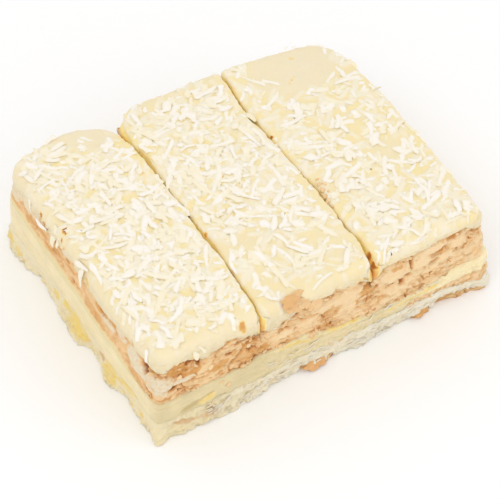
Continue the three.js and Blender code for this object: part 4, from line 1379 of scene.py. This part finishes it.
def coconut_cover(key, x, y):
    """How thickly the coconut lies at a place on a strip, from 0 to 1."""
    patch = noise_along(x, y, 11, 701)
    along = (y - FRONT_EDGE) / (BACK_EDGE_LEFT - FRONT_EDGE)
    if key == "left":
        inner = ease(-66, -60, x) * ease(-0.02, 0.08, along) * ease(1.0, 0.92, along)
        bald_corner = np.hypot((x + 34) / 11, (y - 50) / 8)
        cover = 0.9 * inner + 0.12 + 0.16 * patch
        return unit(cover * (1 - 0.9 * ease(1.2, 0.7, bald_corner)))
    if key == "middle":
        cover = 0.42 + 0.45 * ease(0.2, 0.4, along) * ease(1.0, 0.86, along)
        return unit(cover + 0.2 * patch)
    bald = np.hypot((x - 46) / 18, (y - 42) / 15)
    thin = np.hypot((x - 52) / 8, (y + 12) / 9)
    cover = 0.72 * ease(0.75, 1.2, bald) * (1 - 0.5 * ease(1.2, 0.6, thin))
    return unit(cover + (0.05 + 0.18 * patch) * ease(0.75, 1.2, bald))


class Ground:
    """A strip's height and cover of coconut, tabulated over its plan."""

    STEP = 0.5

    def __init__(self, key):
        strip = STRIPS[key]
        low, high = strip_sides(strip)
        self.corner = np.array([low - 6, FRONT_EDGE - 8])
        count = ((np.array([high + 6, BACK_EDGE_LEFT + 10]) - self.corner) / self.STEP).astype(int)
        x = self.corner[0] + np.arange(count[0]) * self.STEP
        y = self.corner[1] + np.arange(count[1]) * self.STEP
        grid_x, grid_y = (grid.ravel() for grid in np.meshgrid(x, y, indexing="ij"))
        self.height = icing_surface(key, grid_x, grid_y).reshape(count)
        self.cover = coconut_cover(key, grid_x, grid_y).reshape(count)
        self.left, self.right = side_at(strip, False, y), side_at(strip, True, y)
        self.y = y

    def read(self, table, x, y):
        columns = (np.asarray(x) - self.corner[0]) / self.STEP
        rows = (np.asarray(y) - self.corner[1]) / self.STEP
        return read_plan(table, columns, rows)

    def level(self, x, y):
        return self.read(self.height, x, y)


def shred_pattern():
    """A ribbon, one long, one wide and one thick, domed so that its edges lie low."""
    bpy.ops.mesh.primitive_grid_add(x_subdivisions=8, y_subdivisions=2, size=1)
    pattern = Pattern.thickened(bpy.context.active_object)
    pattern.dome()
    return pattern


def shred_corners(pattern, rng, place, heading, size, lift, ground, bend=None):
    """
    Corners of a shred lying on a ground, as (x, y, height) in the ground's own axes.
    ground(x, y) gives its height. size is length, width and thickness, bend is in radians.
    """
    length, width, thickness = size
    lengthwise, crosswise, upright = pattern.corners.T
    share = np.linspace(-0.5, 0.5, 25)
    bend = rng.normal(0, 0.45) if bend is None else bend
    sway = rng.normal(0, 0.14)
    angle = heading + bend * share + sway * np.sin(2 * np.pi * share)
    step = length / (len(share) - 1)
    between = (angle[1:] + angle[:-1]) / 2
    path_x = np.concatenate([[0], np.cumsum(np.cos(between) * step)])
    path_y = np.concatenate([[0], np.cumsum(np.sin(between) * step)])
    path_x += place[0] - path_x.mean()
    path_y += place[1] - path_y.mean()
    level = ground(path_x, path_y)
    level = 0.85 * level + 0.15 * np.polyval(np.polyfit(share, level, 1), share)
    tips = rng.uniform(0.5, 1.0, 2)
    swell = 1 + 0.2 * np.sin(rng.uniform(0, 6) + share * rng.uniform(3, 11))
    wide = width * swell * np.interp(share, [-0.5, -0.36, 0.38, 0.5], [tips[0], 1, 1, tips[1]])
    side = crosswise * np.interp(lengthwise, share, wide)
    skew = side * rng.normal(0, 0.6) * unit(np.abs(lengthwise) * 2.4 - 0.2)
    turn = np.interp(lengthwise, share, angle)
    x = np.interp(lengthwise, share, path_x) - np.sin(turn) * side + np.cos(turn) * skew
    y = np.interp(lengthwise, share, path_y) + np.cos(turn) * side + np.sin(turn) * skew
    lean, roll, cup = rng.normal(0, 0.02), rng.normal(0, 0.05), rng.normal(0.02, 0.06)
    height = np.interp(lengthwise, share, level) + lift + lean * lengthwise * length + roll * side
    height += cup * side**2 / max(width, 1) + thickness * upright
    return np.column_stack([x, y, height])


def stuck_shreds():
    """The shreds that hang on the sides of the icing or lie in a cut."""
    rng = np.random.default_rng(81)
    pattern = shred_pattern()
    heap = Heap()
    lengthwise, crosswise, upright = pattern.corners.T[:, :, None]
    for start, end, width, face, tint in STUCK_SHREDS:
        start, end = np.array(start), np.array(end)
        along = end - start
        side = np.cross(face, along)
        out = np.cross(along, side)
        side, out = side / np.linalg.norm(side), out / np.linalg.norm(out)
        waves = 0.25 * np.sin(rng.uniform(0, 6) + 6 * lengthwise)
        swell = 1 + waves - 0.5 * unit(np.abs(lengthwise) * 4 - 1.2)
        skew = rng.normal(0, 0.15) * width * np.sin(5 * lengthwise + rng.uniform(0, 6))
        points = (start + end) / 2 + lengthwise * along + (crosswise * width * swell + skew) * side
        points = points + (0.3 * upright + 0.25 * (1 - 4 * lengthwise**2)) * out
        heap.add(pattern, points, tint=tint + 0.4 * pattern.rim)
    return heap.mesh("coconut_stuck")


def shred_size(rng):
    """Length, width and thickness of a shred of one of the kinds."""
    kind = rng.choice(len(SHRED_KINDS), p=[kind[0] for kind in SHRED_KINDS])
    _, length, width = SHRED_KINDS[kind]
    return rng.uniform(*length), rng.uniform(*width), rng.uniform(*SHRED_THICKNESS)


def strew_coconut(key, count):
    """The shreds on one strip, thicker where the cover is, each resting on those below it."""
    strip = STRIPS[key]
    rng = np.random.default_rng(900 + strip["seed"])
    pattern = shred_pattern()
    ground = Ground(key)
    heap = Heap()
    piled = {}

    def lay(place, heading, size, bend, sunk):
        steps = np.linspace(-0.5, 0.5, 7) * size[0]
        spots = {(int((place[0] + step * math.cos(heading)) / PILE_SQUARE),
                  int((place[1] + step * math.sin(heading)) / PILE_SQUARE)) for step in steps}
        pile = max(piled.get(spot, 0.0) for spot in spots)
        if pile > PILE_LIMIT:
            return False
        for spot in spots:
            piled[spot] = pile + 0.5 * size[2]
        lift = 0.02 - 0.09 * sunk + pile
        corners = shred_corners(pattern, rng, place, heading, size, lift, ground.level, bend)
        corners[:, 2] -= 0.8 * np.maximum(corners[:, 2] - TOP_LIMIT, 0)
        heap.add(pattern, corners, tint=0.3 * rng.random() + 0.5 * sunk + 0.5 * pattern.rim)
        return True

    for x, y, degrees, length, width, bend in PLACED_SHREDS[key]:
        size = (length, width, PLACED_THICKNESS)
        lay((x, y), math.radians(degrees), size, math.radians(bend), 0.0)
    made = 0
    while made < count:
        y = rng.uniform(FRONT_EDGE - 0.3, BACK_EDGE_LEFT + 0.3)
        left, right = np.interp(y, ground.y, ground.left), np.interp(y, ground.y, ground.right)
        x = rng.uniform(left, right)
        cover = float(ground.read(ground.cover, x, y))
        back = read_along(BACK_LINE, x)
        if y > back - 1.2 or rng.random() > cover:
            continue
        size = shred_size(rng)
        heading = rng.uniform(0, 2 * np.pi)
        reach_x = 0.5 * size[0] * abs(math.cos(heading)) + 0.5 * size[1]
        reach_y = 0.5 * size[0] * abs(math.sin(heading))
        if y - reach_y < FRONT_EDGE - 1.2 or y + reach_y > back + 0.4:
            continue
        if x - 0.8 * reach_x < left - 0.2 or x + 0.8 * reach_x > right + 0.2:
            continue
        over_left = x - reach_x < left + 0.2 and strip["cuts"][0] is not None
        over_right = x + reach_x > right - 0.2 and strip["cuts"][1] is not None
        if (over_left or over_right) and rng.random() < KEPT_OFF_CUTS:
            continue
        made += lay((x, y), heading, size, None, float(rng.random() < SUNK_SHARE))
    return heap.mesh(f"coconut_{key}")


# ---- loose leaves and crumbs of pastry ----

def leaf_pattern():
    """A leaf of pastry with nine sides, one across and one thick."""
    bpy.ops.mesh.primitive_circle_add(vertices=9, radius=0.5, fill_type="TRIFAN")
    return Pattern.thickened(bpy.context.active_object)


def crumb_pattern():
    """A round crumb, one across."""
    bpy.ops.mesh.primitive_ico_sphere_add(subdivisions=2, radius=0.5)
    return Pattern(bpy.context.active_object)


def flake_pattern():
    """A thin flake with a fine mesh, one across and one thick, round before it is torn."""
    bpy.ops.mesh.primitive_grid_add(x_subdivisions=16, y_subdivisions=16, size=1)
    pattern = Pattern.thickened(bpy.context.active_object)
    pattern.round_off()
    return pattern


def leaf_corners(pattern, rng, size):
    """A leaf of its own outline, bent a little: its corners about its middle."""
    corners = pattern.corners.copy()
    angle = np.round(np.arctan2(corners[:, 1], corners[:, 0]), 3)
    far = np.hypot(corners[:, 0], corners[:, 1]) > 0.1
    for value in np.unique(angle[far]):
        corners[(angle == value) & far, :2] *= rng.uniform(0.65, 1.15)
    corners *= np.array(size)
    corners[:, 2] += rng.normal(0, 0.1) * corners[:, 0] ** 2 / max(size[0], 1)
    corners[:, 2] += rng.normal(0, 0.12) * corners[:, 0] * corners[:, 1] / max(size[0], 1)
    return corners


def torn_flake(pattern, rng, size):
    """A larger flake: ragged outline, thin edge and a rough face."""
    corners = pattern.corners.copy()
    angle = np.arctan2(corners[:, 1], corners[:, 0])
    spread = np.hypot(corners[:, 0], corners[:, 1]) * 2
    start = rng.uniform(0, 90)
    rim = np.column_stack([3 * np.cos(angle) + start, 3 * np.sin(angle), 0 * angle])
    pull = 1 + spread * (0.4 * noise(rim, 2.2, 801) + 0.24 * noise(rim, 0.8, 802))
    corners[:, :2] *= pull[:, None]
    corners[:, 2] *= 1 - 0.6 * spread**3
    corners *= np.array(size)
    place = np.column_stack([corners[:, :2] + start, 0 * angle])
    rough = 0.22 * noise(place, 2.2, 803) + 0.14 * noise(place, 0.9, 804)
    corners[:, 2] += rough + rng.normal(0, 0.06) * corners[:, 0] ** 2 / max(size[0], 1)
    return corners


def turned(corners, face, up, spin):
    """Turns corners so that their own z lies along face, and then by a spin about it."""
    face = np.array(face, float) / np.linalg.norm(face)
    side = np.cross(up, face)
    side /= np.linalg.norm(side)
    over = np.cross(face, side)
    cosine, sine = math.cos(spin), math.sin(spin)
    x = corners[:, :1] * cosine - corners[:, 1:2] * sine
    y = corners[:, :1] * sine + corners[:, 1:2] * cosine
    return x * side + y * over + corners[:, 2:3] * face


def wall_spot(turn, height):
    """A place on the plain wall, and the way out from it."""
    spot, out = spot_at(np.array([turn]))
    reach = float(flare(np.array([turn]), np.array([height]))[0])
    return np.array([*(spot[0] + out[0] * reach), height]), np.array([*out[0], 0.0])


def loose_leaves(count):
    """Leaves that stand out of the flaky pastry, some flat like shelves and some peeling."""
    rng = np.random.default_rng(77)
    pattern = leaf_pattern()
    heap = Heap()
    while heap.count < count * len(pattern.corners):
        turn = rng.random()
        distance = reach_from_corner(np.array([turn]))
        low = float(custard_line(np.array([turn]))[0][0])
        high = float(pastry_line(np.array([turn]))[0][0]) - 1.8
        height = rng.uniform(low + 0.4, high)
        smear = marks_at(WHITE_SMEARS, distance, np.array([height]), 0.0)[0]
        smooth = marks_at(SMOOTH_LEAVES, distance, np.array([height]), 0.0)[0]
        if -125 < distance[0] < 2 or rng.random() < max(smear, 0.8 * smooth):
            continue
        place, out = wall_spot(turn, height)
        if rng.random() < SHELF_SHARE:
            size = (rng.uniform(1.4, 3.6), rng.uniform(0.8, 1.6), rng.uniform(0.14, 0.26))
            face = UPWARDS + out * rng.normal(0.3, 0.3) + rng.normal(0, 0.12, 3)
            place = place + out * rng.uniform(-0.5, 0.2)
        else:
            size = (rng.uniform(1.2, 3.2), rng.uniform(0.8, 1.8), rng.uniform(0.16, 0.3))
            face = out + np.array([0, 0, rng.normal(0.2, 0.3)]) + rng.normal(0, 0.15, 3)
            place = place + out * rng.uniform(-0.1, 0.4)
        leaf = leaf_corners(pattern, rng, size)
        corners = turned(leaf, face, np.array([0.1, 0.2, 1.0]), rng.normal(0, 0.4))
        heap.add(pattern, corners + place, hollow=rng.uniform(0.0, 0.25), leaf=rng.random(),
                 golden=float(rng.random() < 0.1))
    return heap.mesh("pastry_leaves", 30)


def loose_crumbs():
    """Crumbs fallen from the flaky pastry onto the fillings."""
    rng = np.random.default_rng(78)
    pattern = crumb_pattern()
    heap = Heap()

    def drop(place, size):
        lumps = 1 + 0.45 * noise(pattern.corners * 9 + rng.uniform(0, 90, 3), 2.0, 5)
        corners = pattern.corners * lumps[:, None] * size * rng.uniform(0.55, 1.2, 3)
        heap.add(pattern, corners + place, hollow=rng.uniform(0, 0.3), leaf=rng.random())

    for along, middle, spread, count, largest in CRUMB_GROUPS:
        for _ in range(count):
            distance = along + rng.normal(0, spread / 2)
            height = middle + rng.normal(0, spread / 4)
            size = largest * rng.uniform(0.35, 1.0)
            place, out = wall_spot((distance - CORNER_RADIUS["front_left"]) / OUTLINE_LENGTH, height)
            drop(place + out * (0.45 + 0.12 * size), size)
    for place, size in TOP_CRUMBS:
        drop(np.array(place), size)
    return heap.mesh("pastry_crumbs", 60)


def broad_flakes():
    """The few large flakes that lie where they catch the eye."""
    rng = np.random.default_rng(79)
    pattern = flake_pattern()
    heap = Heap()
    for place, face, size, golden, dark in BROAD_FLAKES:
        flake = torn_flake(pattern, rng, size)
        corners = turned(flake, face, UPWARDS, rng.normal(0, 0.2)) + np.array(place)
        heap.add(pattern, corners, hollow=dark, leaf=0.7, golden=golden)
    return heap.mesh("broad_flakes", 30)


def cream_threads(count):
    """Fine threads of cream pulled along the torn middle of the front."""
    rng = np.random.default_rng(80)
    pattern = shred_pattern()
    heap = Heap()
    for _ in range(count):
        distance = rng.uniform(16, 112)
        height = rng.uniform(0.4, 15) if distance > 40 else rng.uniform(0.4, 8)
        turn = (distance - CORNER_RADIUS["front_left"]) / OUTLINE_LENGTH
        place, out = wall_spot(turn, height)
        size = (rng.uniform(1.5, 5.0), rng.uniform(0.25, 0.6), rng.uniform(0.2, 0.35))
        heading = rng.normal(0.12, 0.3)
        flat = shred_corners(pattern, rng, (0.0, 0.0), heading, size, 0.0, lambda x, y: 0 * x)
        corners = turned(flat, out, UPWARDS, 0.0)
        corners = corners + place + out * rng.uniform(0.3, 0.8)
        corners[:, 2] = np.maximum(corners[:, 2], 0.02)
        heap.add(pattern, corners, rich=rng.uniform(0, 0.3))
    return heap.mesh("cream_threads", 60)


# ---- materials ----

def tone(red, green, blue):
    """A colour given as 0 to 255 values of a screen, as scene values."""
    def linear(value):
        value /= 255
        return value / 12.92 if value <= 0.04045 else ((value + 0.055) / 1.055) ** 2.4
    return (linear(red), linear(green), linear(blue), 1.0)


class Wire:
    """A socket that carries a value or colour, with arithmetic that adds Math nodes."""

    def __init__(self, nodes, socket):
        self.nodes, self.socket = nodes, socket

    def _math(self, operation, first, second):
        return self.nodes.add("ShaderNodeMath", {"operation": operation}, {0: first, 1: second})

    def __add__(self, other):
        return self._math("ADD", self, other)

    def __sub__(self, other):
        return self._math("SUBTRACT", self, other)

    def __mul__(self, other):
        return self._math("MULTIPLY", self, other)

    __radd__, __rmul__ = __add__, __mul__

    def __rsub__(self, other):
        return self._math("SUBTRACT", other, self)

    def clamp(self):
        return self.nodes.add("ShaderNodeClamp", {}, {"Value": self})


class Nodes:
    """The nodes of one material."""

    def __init__(self, name):
        self.material = bpy.data.materials.new(name)
        self.material.use_nodes = True
        self.tree = self.material.node_tree
        self.tree.nodes.clear()

    def add(self, kind, settings, inputs, output=0):
        """Adds a node with its settings and inputs, and gives the wire of one output."""
        node = self.tree.nodes.new(kind)
        for key, value in settings.items():
            if key == "stops":
                ramp = node.color_ramp
                while len(ramp.elements) < len(value):
                    ramp.elements.new(1.0)
                for element, (place, colour) in zip(ramp.elements, value):
                    element.position, element.color = place, colour
            else:
                setattr(node, key, value)
        for key, value in inputs.items():
            if isinstance(value, Wire):
                self.tree.links.new(value.socket, node.inputs[key])
            else:
                node.inputs[key].default_value = value
        return Wire(self, node.outputs[output])

    def painted(self, name):
        return self.add("ShaderNodeAttribute", {"attribute_name": name}, {}, "Fac")

    def place(self, scale):
        spot = self.add("ShaderNodeTexCoord", {}, {}, "Object")
        return self.add("ShaderNodeMapping", {}, {"Vector": spot, "Scale": scale})

    def grain(self, scale, detail=3.0, roughness=0.55):
        """Noise whose waves are about 1/scale metres long along each axis."""
        inputs = {"Vector": self.place(scale), "Scale": 1.0, "Detail": detail, "Roughness": roughness}
        return self.add("ShaderNodeTexNoise", {}, inputs, "Fac")

    def ramp(self, value, stops):
        return self.add("ShaderNodeValToRGB", {"stops": stops}, {"Fac": value}, "Color")

    def mix(self, share, first, second):
        return self.add("ShaderNodeMix", {"data_type": "RGBA"}, {0: share, 6: first, 7: second}, 2)

    def over(self, colour, share, upper):
        """A colour with another laid over it by a share that is kept between 0 and 1."""
        return self.mix(share.clamp(), colour, upper)

    def finish(self, colour, roughness, bump, strength, distance, soft=()):
        """
        The material with its skin: bump by a strength and a distance in metres, and for a soft
        one the weight, radius and scale of the light that passes under it.
        """
        relief = {"Strength": strength, "Distance": distance, "Height": bump}
        normal = self.add("ShaderNodeBump", {}, relief, "Normal")
        inputs = {"Base Color": colour, "Roughness": roughness, "Normal": normal}
        names = ("Subsurface Weight", "Subsurface Radius", "Subsurface Scale")
        inputs.update(zip(names, soft))
        shader = self.add("ShaderNodeBsdfPrincipled", {}, inputs, "BSDF")
        output = self.tree.nodes.new("ShaderNodeOutputMaterial")
        self.tree.links.new(shader.socket, output.inputs["Surface"])
        return self.material


def icing_finish(colours):
    """Soft matt icing, richer in patches and stained in spots, with painted light and shade:
    a golden glow that deepens down the cuts, and shade between the shreds and on the sides.
    """
    nodes = Nodes("icing")
    cloud = nodes.grain((90, 90, 90), 3.0)
    haze = nodes.grain((150, 150, 150), 2.0)
    speck = nodes.grain((420, 420, 420), 3.0)
    clean = nodes.mix(cloud, tuple(colours.icing), tuple(colours.icing_deep))
    clean = nodes.mix(((haze - 0.56) * 5).clamp() * 0.5, clean, tone(234, 226, 192))
    # Painted shade between the shreds.
    gap = (nodes.painted("gap") * 1.7 * speck).clamp()
    colour = nodes.mix(gap, clean, tone(248, 228, 168))
    colour = nodes.over(colour, nodes.painted("sunk") * 0.6, tone(249, 242, 226))
    # Painted shade in specks on the sides and rounded edges.
    colour = nodes.over(colour, nodes.painted("side") * speck * 1.2, tone(227, 210, 170))
    # Painted glow and shade in the cuts, deeper and browner with depth.
    in_cut = nodes.ramp(nodes.painted("cut"), (
        (0.0, tone(249, 238, 206)), (0.3, tone(252, 231, 156)), (0.6, tone(250, 219, 136)),
        (1.0, tone(230, 176, 100))))
    colour = nodes.over(colour, nodes.painted("cut") * 4, in_cut)
    stain = nodes.painted("stain")
    stained = nodes.ramp(stain, (
        (0.0, tone(248, 226, 150)), (0.35, tone(240, 200, 118)), (0.65, tone(212, 148, 76)),
        (1.0, tone(134, 72, 28))))
    colour = nodes.over(colour, stain * 2.2, stained)
    bump = nodes.grain((800, 800, 800), 4.0)
    return nodes.finish(colour, 0.5, bump, 0.25, 0.0004, (0.2, (1.0, 0.75, 0.45), 0.0018))


def coconut_finish(colours):
    """Dry white coconut, yellower at the edges and where it is sunk."""
    nodes = Nodes("coconut")
    tint = nodes.painted("tint")
    colour = nodes.mix(tint.clamp(), tuple(colours.coconut), tone(247, 236, 206))
    bump = nodes.grain((500, 500, 500), 3.0)
    return nodes.finish(colour, 0.85, bump, 0.15, 0.0003)


def pastry_finish(name, light, middle, dark, deep):
    """Baked pastry, from its lightest leaves to its deepest hollows, which painted shade darkens."""
    nodes = Nodes(name)
    hollow = nodes.painted("hollow")
    leaf = nodes.painted("leaf")
    speck = nodes.grain((900, 900, 1800), 3.0)
    patch = nodes.grain((260, 260, 520), 2.0)
    # The hollow value darkens the colour: painted shade in the layers' crevices, and a tone of their
    # own on loose leaves and crumbs.
    value = hollow * 0.95 + (speck - 0.5) * 0.26 + (patch - 0.5) * 0.3 + (1 - leaf) * 0.14
    colour = nodes.ramp(value.clamp(), ((0.0, light), (0.28, middle), (0.62, dark), (0.95, deep)))
    golden = nodes.mix(speck, tone(230, 176, 102), tone(206, 142, 70))
    colour = nodes.over(colour, nodes.painted("golden") * 0.85, golden)
    pale = nodes.mix(((speck - 0.42) * 3).clamp(), tone(236, 224, 196), tone(226, 200, 164))
    colour = nodes.over(colour, nodes.painted("smear") * 0.95, pale)
    drawn = nodes.mix(speck, tone(238, 222, 172), tone(234, 214, 162))
    colour = nodes.mix(nodes.painted("drawn"), colour, drawn)
    bump = nodes.grain((1100, 1100, 2600), 4.0, 0.65)
    return nodes.finish(colour, 0.8, bump, 0.45, 0.0004, (0.15, (1.0, 0.6, 0.3), 0.001))


def filling_finish(name, pale, rich, shade_colour, roughness, grain_scale):
    """Cream or custard, from pale to rich, with yellow, tan and shaded places."""
    nodes = Nodes(name)
    speck = nodes.grain((300, 300, 500), 3.0)
    share = nodes.painted("rich") + (speck - 0.5) * 0.4
    colour = nodes.mix(share.clamp(), pale, rich)
    colour = nodes.over(colour, nodes.painted("yellow") * speck * 1.7, tone(240, 210, 120))
    colour = nodes.over(colour, nodes.painted("tan") * 0.8, tone(214, 166, 112))
    colour = nodes.over(colour, nodes.painted("hollow") * 0.8, shade_colour)
    fine = nodes.grain((1500, 1500, 1500), 2.0)
    colour = nodes.mix(((fine - 0.5) * 3).clamp() * 0.35, colour, shade_colour)
    bump = nodes.grain(grain_scale, 4.0, 0.6)
    return nodes.finish(colour, roughness, bump, 0.45, 0.0005, (0.25, (1.0, 0.75, 0.35), 0.002))


# ---- the stage ----

def lay_floor():
    """A wide white floor under the slab."""
    deselect_all()
    bpy.ops.mesh.primitive_plane_add(size=FLOOR_WIDTH, location=(0, 0, 0))
    floor = bpy.context.active_object
    floor.name = "floor"
    nodes = Nodes("floor")
    bump = nodes.grain((40, 40, 40))
    floor.data.materials.append(nodes.finish(tone(254, 254, 254), 0.9, bump, 0.0, 0.0001))


def add_to_stage(scene, name, data, place, aim):
    """Adds a lamp or a camera at a place in metres, facing its aim."""
    holder = bpy.data.objects.new(name, data)
    scene.collection.objects.link(holder)
    holder.location = place
    holder.rotation_mode = "QUATERNION"
    holder.rotation_quaternion = (aim - place).to_track_quat("-Z", "Y")
    return holder


def light_stage(scene):
    """An even white sky and the round lights, with colours shown as they are."""
    world = bpy.data.worlds.new("studio")
    world.use_nodes = True
    sky = world.node_tree.nodes["Background"]
    sky.inputs["Color"].default_value = (1.0, 1.0, 1.0, 1)
    sky.inputs["Strength"].default_value = SKY_STRENGTH
    scene.world = world
    scene.view_settings.view_transform = "Standard"
    for name, place, size, power in LIGHTS:
        light = bpy.data.lights.new(name, "AREA")
        light.shape, light.size, light.energy = "DISK", size, power
        add_to_stage(scene, name, light, Vector(place), Vector((0, 0, 0)))


def set_camera(scene):
    """The camera, at its distance from a target within the slab, its aim shifted a little."""
    target = Vector((*SLAB_SHIFT, CAMERA_TARGET_HEIGHT)) * MM
    azimuth, elevation = math.radians(CAMERA_AZIMUTH), math.radians(CAMERA_ELEVATION)
    distance = CAMERA_DISTANCE * MM
    back = Vector((math.sin(azimuth) * math.cos(elevation),
                   -math.cos(azimuth) * math.cos(elevation), math.sin(elevation)))
    right = (-back).cross(Vector((0, 0, 1))).normalized()
    up = right.cross(-back)
    aim = target + right * (AIM_RIGHT_PIXELS / FOCAL_PIXELS * distance)
    aim = aim - up * (AIM_DOWN_PIXELS / FOCAL_PIXELS * distance)
    data = bpy.data.cameras.new("camera")
    data.sensor_width = SENSOR_WIDTH
    data.lens = FOCAL_PIXELS * SENSOR_WIDTH / PICTURE_WIDTH
    scene.camera = add_to_stage(scene, "camera", data, target + back * distance, aim)


# ---- settings shown in the sidebar ----

def colour_setting(name, description, colour):
    """A colour that the sidebar shows."""
    return bpy.props.FloatVectorProperty(
        name=name, description=description, subtype="COLOR", size=4, min=0.0, max=1.0, default=colour)


def count_setting(name, description, count):
    """A number of pieces that the sidebar shows."""
    return bpy.props.IntProperty(name=name, description=description, default=count, min=1)


class SlabSettings(bpy.types.PropertyGroup):
    """Sizes, counts and colours that set how the slab looks."""

    shreds_left: count_setting("Left shreds", "Coconut shreds on the left strip", 590)
    shreds_middle: count_setting("Middle shreds", "Coconut shreds on the middle strip", 480)
    shreds_right: count_setting("Right shreds", "Coconut shreds on the right strip", 360)
    leaves: count_setting("Leaves", "Loose leaves standing out of the flaky pastry", 260)
    threads: count_setting("Threads", "Threads of cream on the torn front", 110)
    wall_step: bpy.props.FloatProperty(
        name="Wall step", description="Length of the mesh steps along the layers' walls",
        default=0.0005, min=0.0002, unit="LENGTH", subtype="DISTANCE")
    icing: colour_setting("Icing", "Colour of the icing", tone(243, 230, 200))
    icing_deep: colour_setting("Deep icing", "Colour of the richer icing", tone(241, 224, 184))
    coconut: colour_setting("Coconut", "Colour of the coconut shreds", tone(250, 245, 239))
    custard: colour_setting("Custard", "Colour of the richest custard", tone(252, 234, 189))
    cream: colour_setting("Cream", "Colour of the palest cream", tone(240, 232, 214))
    pastry: colour_setting("Pastry", "Colour of the lightest flaky pastry", tone(246, 218, 174))
    crust: colour_setting("Crust", "Colour of the lightest part of the base", tone(236, 202, 156))


# ---- operators ----

# Each layer's piece, lower and upper line, steps round (in wall steps) and up the wall, relief,
# slot and the node whose place it takes.
LAYERS = (
    ("crust_band", ground_line, crust_line, (1.2, 0.4), crust_relief, "crust", "pastry_bottom"),
    ("cream_band", cream_foot, cream_line, (0.84, 0.34), cream_relief, "cream", "cream"),
    ("thin_pastry_band", thin_pastry_foot, thin_pastry_line, (1.0, 0.3), thin_pastry_relief,
     "pastry", "pastry_middle"),
    ("custard_band", custard_foot, custard_line, (0.84, 0.34), custard_relief, "custard", "custard"),
    ("flaky_pastry_band", custard_line, pastry_line, (0.76, 0.27), flaky_relief, "pastry",
     "pastry_top"),
)


def layer_finishes(settings):
    """The finish of each layer, by the node whose place it takes."""
    return {
        "pastry_top": pastry_finish(
            "flaky_pastry", tuple(settings.pastry), tone(240, 202, 150), tone(216, 158, 98),
            tone(160, 90, 38)),
        "pastry_middle": pastry_finish(
            "thin_pastry", tone(248, 220, 178), tone(240, 205, 156), tone(220, 168, 106),
            tone(182, 118, 58)),
        "pastry_bottom": pastry_finish(
            "baked_crust", tuple(settings.crust), tone(222, 180, 124), tone(196, 142, 86),
            tone(140, 86, 42)),
        # The custard's pale colour is darker and greyer than its rich one: partly its own colour,
        # partly painted shade on the front face.
        "custard": filling_finish(
            "custard", tone(212, 194, 148), tuple(settings.custard), tone(206, 184, 126), 0.4,
            (500, 500, 900)),
        "cream": filling_finish(
            "cream", tuple(settings.cream), tone(238, 220, 174), tone(216, 202, 164), 0.55,
            (700, 700, 1500)),
    }


class SLAB_OT_stage(bpy.types.Operator):
    """Lays the floor and sets the light and the camera"""

    bl_idname = "slab.stage"
    bl_label = "Stage"

    def execute(self, context):
        lay_floor()
        light_stage(context.scene)
        set_camera(context.scene)
        return {"FINISHED"}


class SLAB_OT_layers(bpy.types.Operator):
    """Models the five layers under the icing"""

    bl_idname = "slab.layers"
    bl_label = "Layers"

    def execute(self, context):
        settings = context.scene.slab_settings
        finishes = layer_finishes(settings)
        for name, bottom, top, steps, relief, slot, node in LAYERS:
            step = (steps[0] * settings.wall_step / MM, steps[1])
            band = layer_band(name, bottom, top, step, relief)
            if node == "pastry_top":
                score(band)
            finish_piece(band, finishes[node], (node,))
        finish_piece(cream_threads(settings.threads), finishes["cream"])
        return {"FINISHED"}


class SLAB_OT_flakes(bpy.types.Operator):
    """Models the loose leaves, crumbs and broad flakes of pastry"""

    bl_idname = "slab.flakes"
    bl_label = "Flakes and crumbs"

    def execute(self, context):
        settings = context.scene.slab_settings
        loose = pastry_finish("loose_pastry", tuple(settings.pastry), tone(242, 206, 156),
                              tone(220, 162, 100), tone(176, 104, 46))
        finish_piece(loose_leaves(settings.leaves), loose)
        finish_piece(loose_crumbs(), loose)
        finish_piece(broad_flakes(), loose)
        return {"FINISHED"}


class SLAB_OT_icing(bpy.types.Operator):
    """Models the three strips of icing"""

    bl_idname = "slab.icing"
    bl_label = "Icing"

    def execute(self, context):
        icing = icing_finish(context.scene.slab_settings)
        for key in STRIPS:
            finish_piece(icing_strip(key), icing, (f"icing_{key}",))
        return {"FINISHED"}


class SLAB_OT_coconut(bpy.types.Operator):
    """Strews the coconut shreds"""

    bl_idname = "slab.coconut"
    bl_label = "Coconut"

    def execute(self, context):
        settings = context.scene.slab_settings
        coconut = coconut_finish(settings)
        for key in STRIPS:
            finish_piece(strew_coconut(key, getattr(settings, f"shreds_{key}")), coconut)
        finish_piece(stuck_shreds(), coconut)
        return {"FINISHED"}


class SLAB_PT_panel(bpy.types.Panel):
    """Lists the steps that make the slab"""

    bl_label = "Mille Feuille Slab"
    bl_idname = "SLAB_PT_panel"
    bl_space_type = "VIEW_3D"
    bl_region_type = "UI"
    bl_category = "Slab"

    def draw(self, context):
        for step in STEPS:
            self.layout.operator(step.bl_idname)
        for name in SlabSettings.__annotations__:
            self.layout.prop(context.scene.slab_settings, name)


STEPS = (SLAB_OT_stage, SLAB_OT_layers, SLAB_OT_flakes, SLAB_OT_icing, SLAB_OT_coconut)


def register():
    for cls in (SlabSettings, *STEPS, SLAB_PT_panel):
        bpy.utils.register_class(cls)
    bpy.types.Scene.slab_settings = bpy.props.PointerProperty(type=SlabSettings)


def unregister():
    del bpy.types.Scene.slab_settings
    for cls in (SLAB_PT_panel, *reversed(STEPS), SlabSettings):
        bpy.utils.unregister_class(cls)


def main():
    """Runs the steps in order."""
    register()
    bpy.ops.slab.stage()
    bpy.ops.slab.layers()
    bpy.ops.slab.flakes()
    bpy.ops.slab.icing()
    bpy.ops.slab.coconut()


if __name__ == "__main__":
    main()
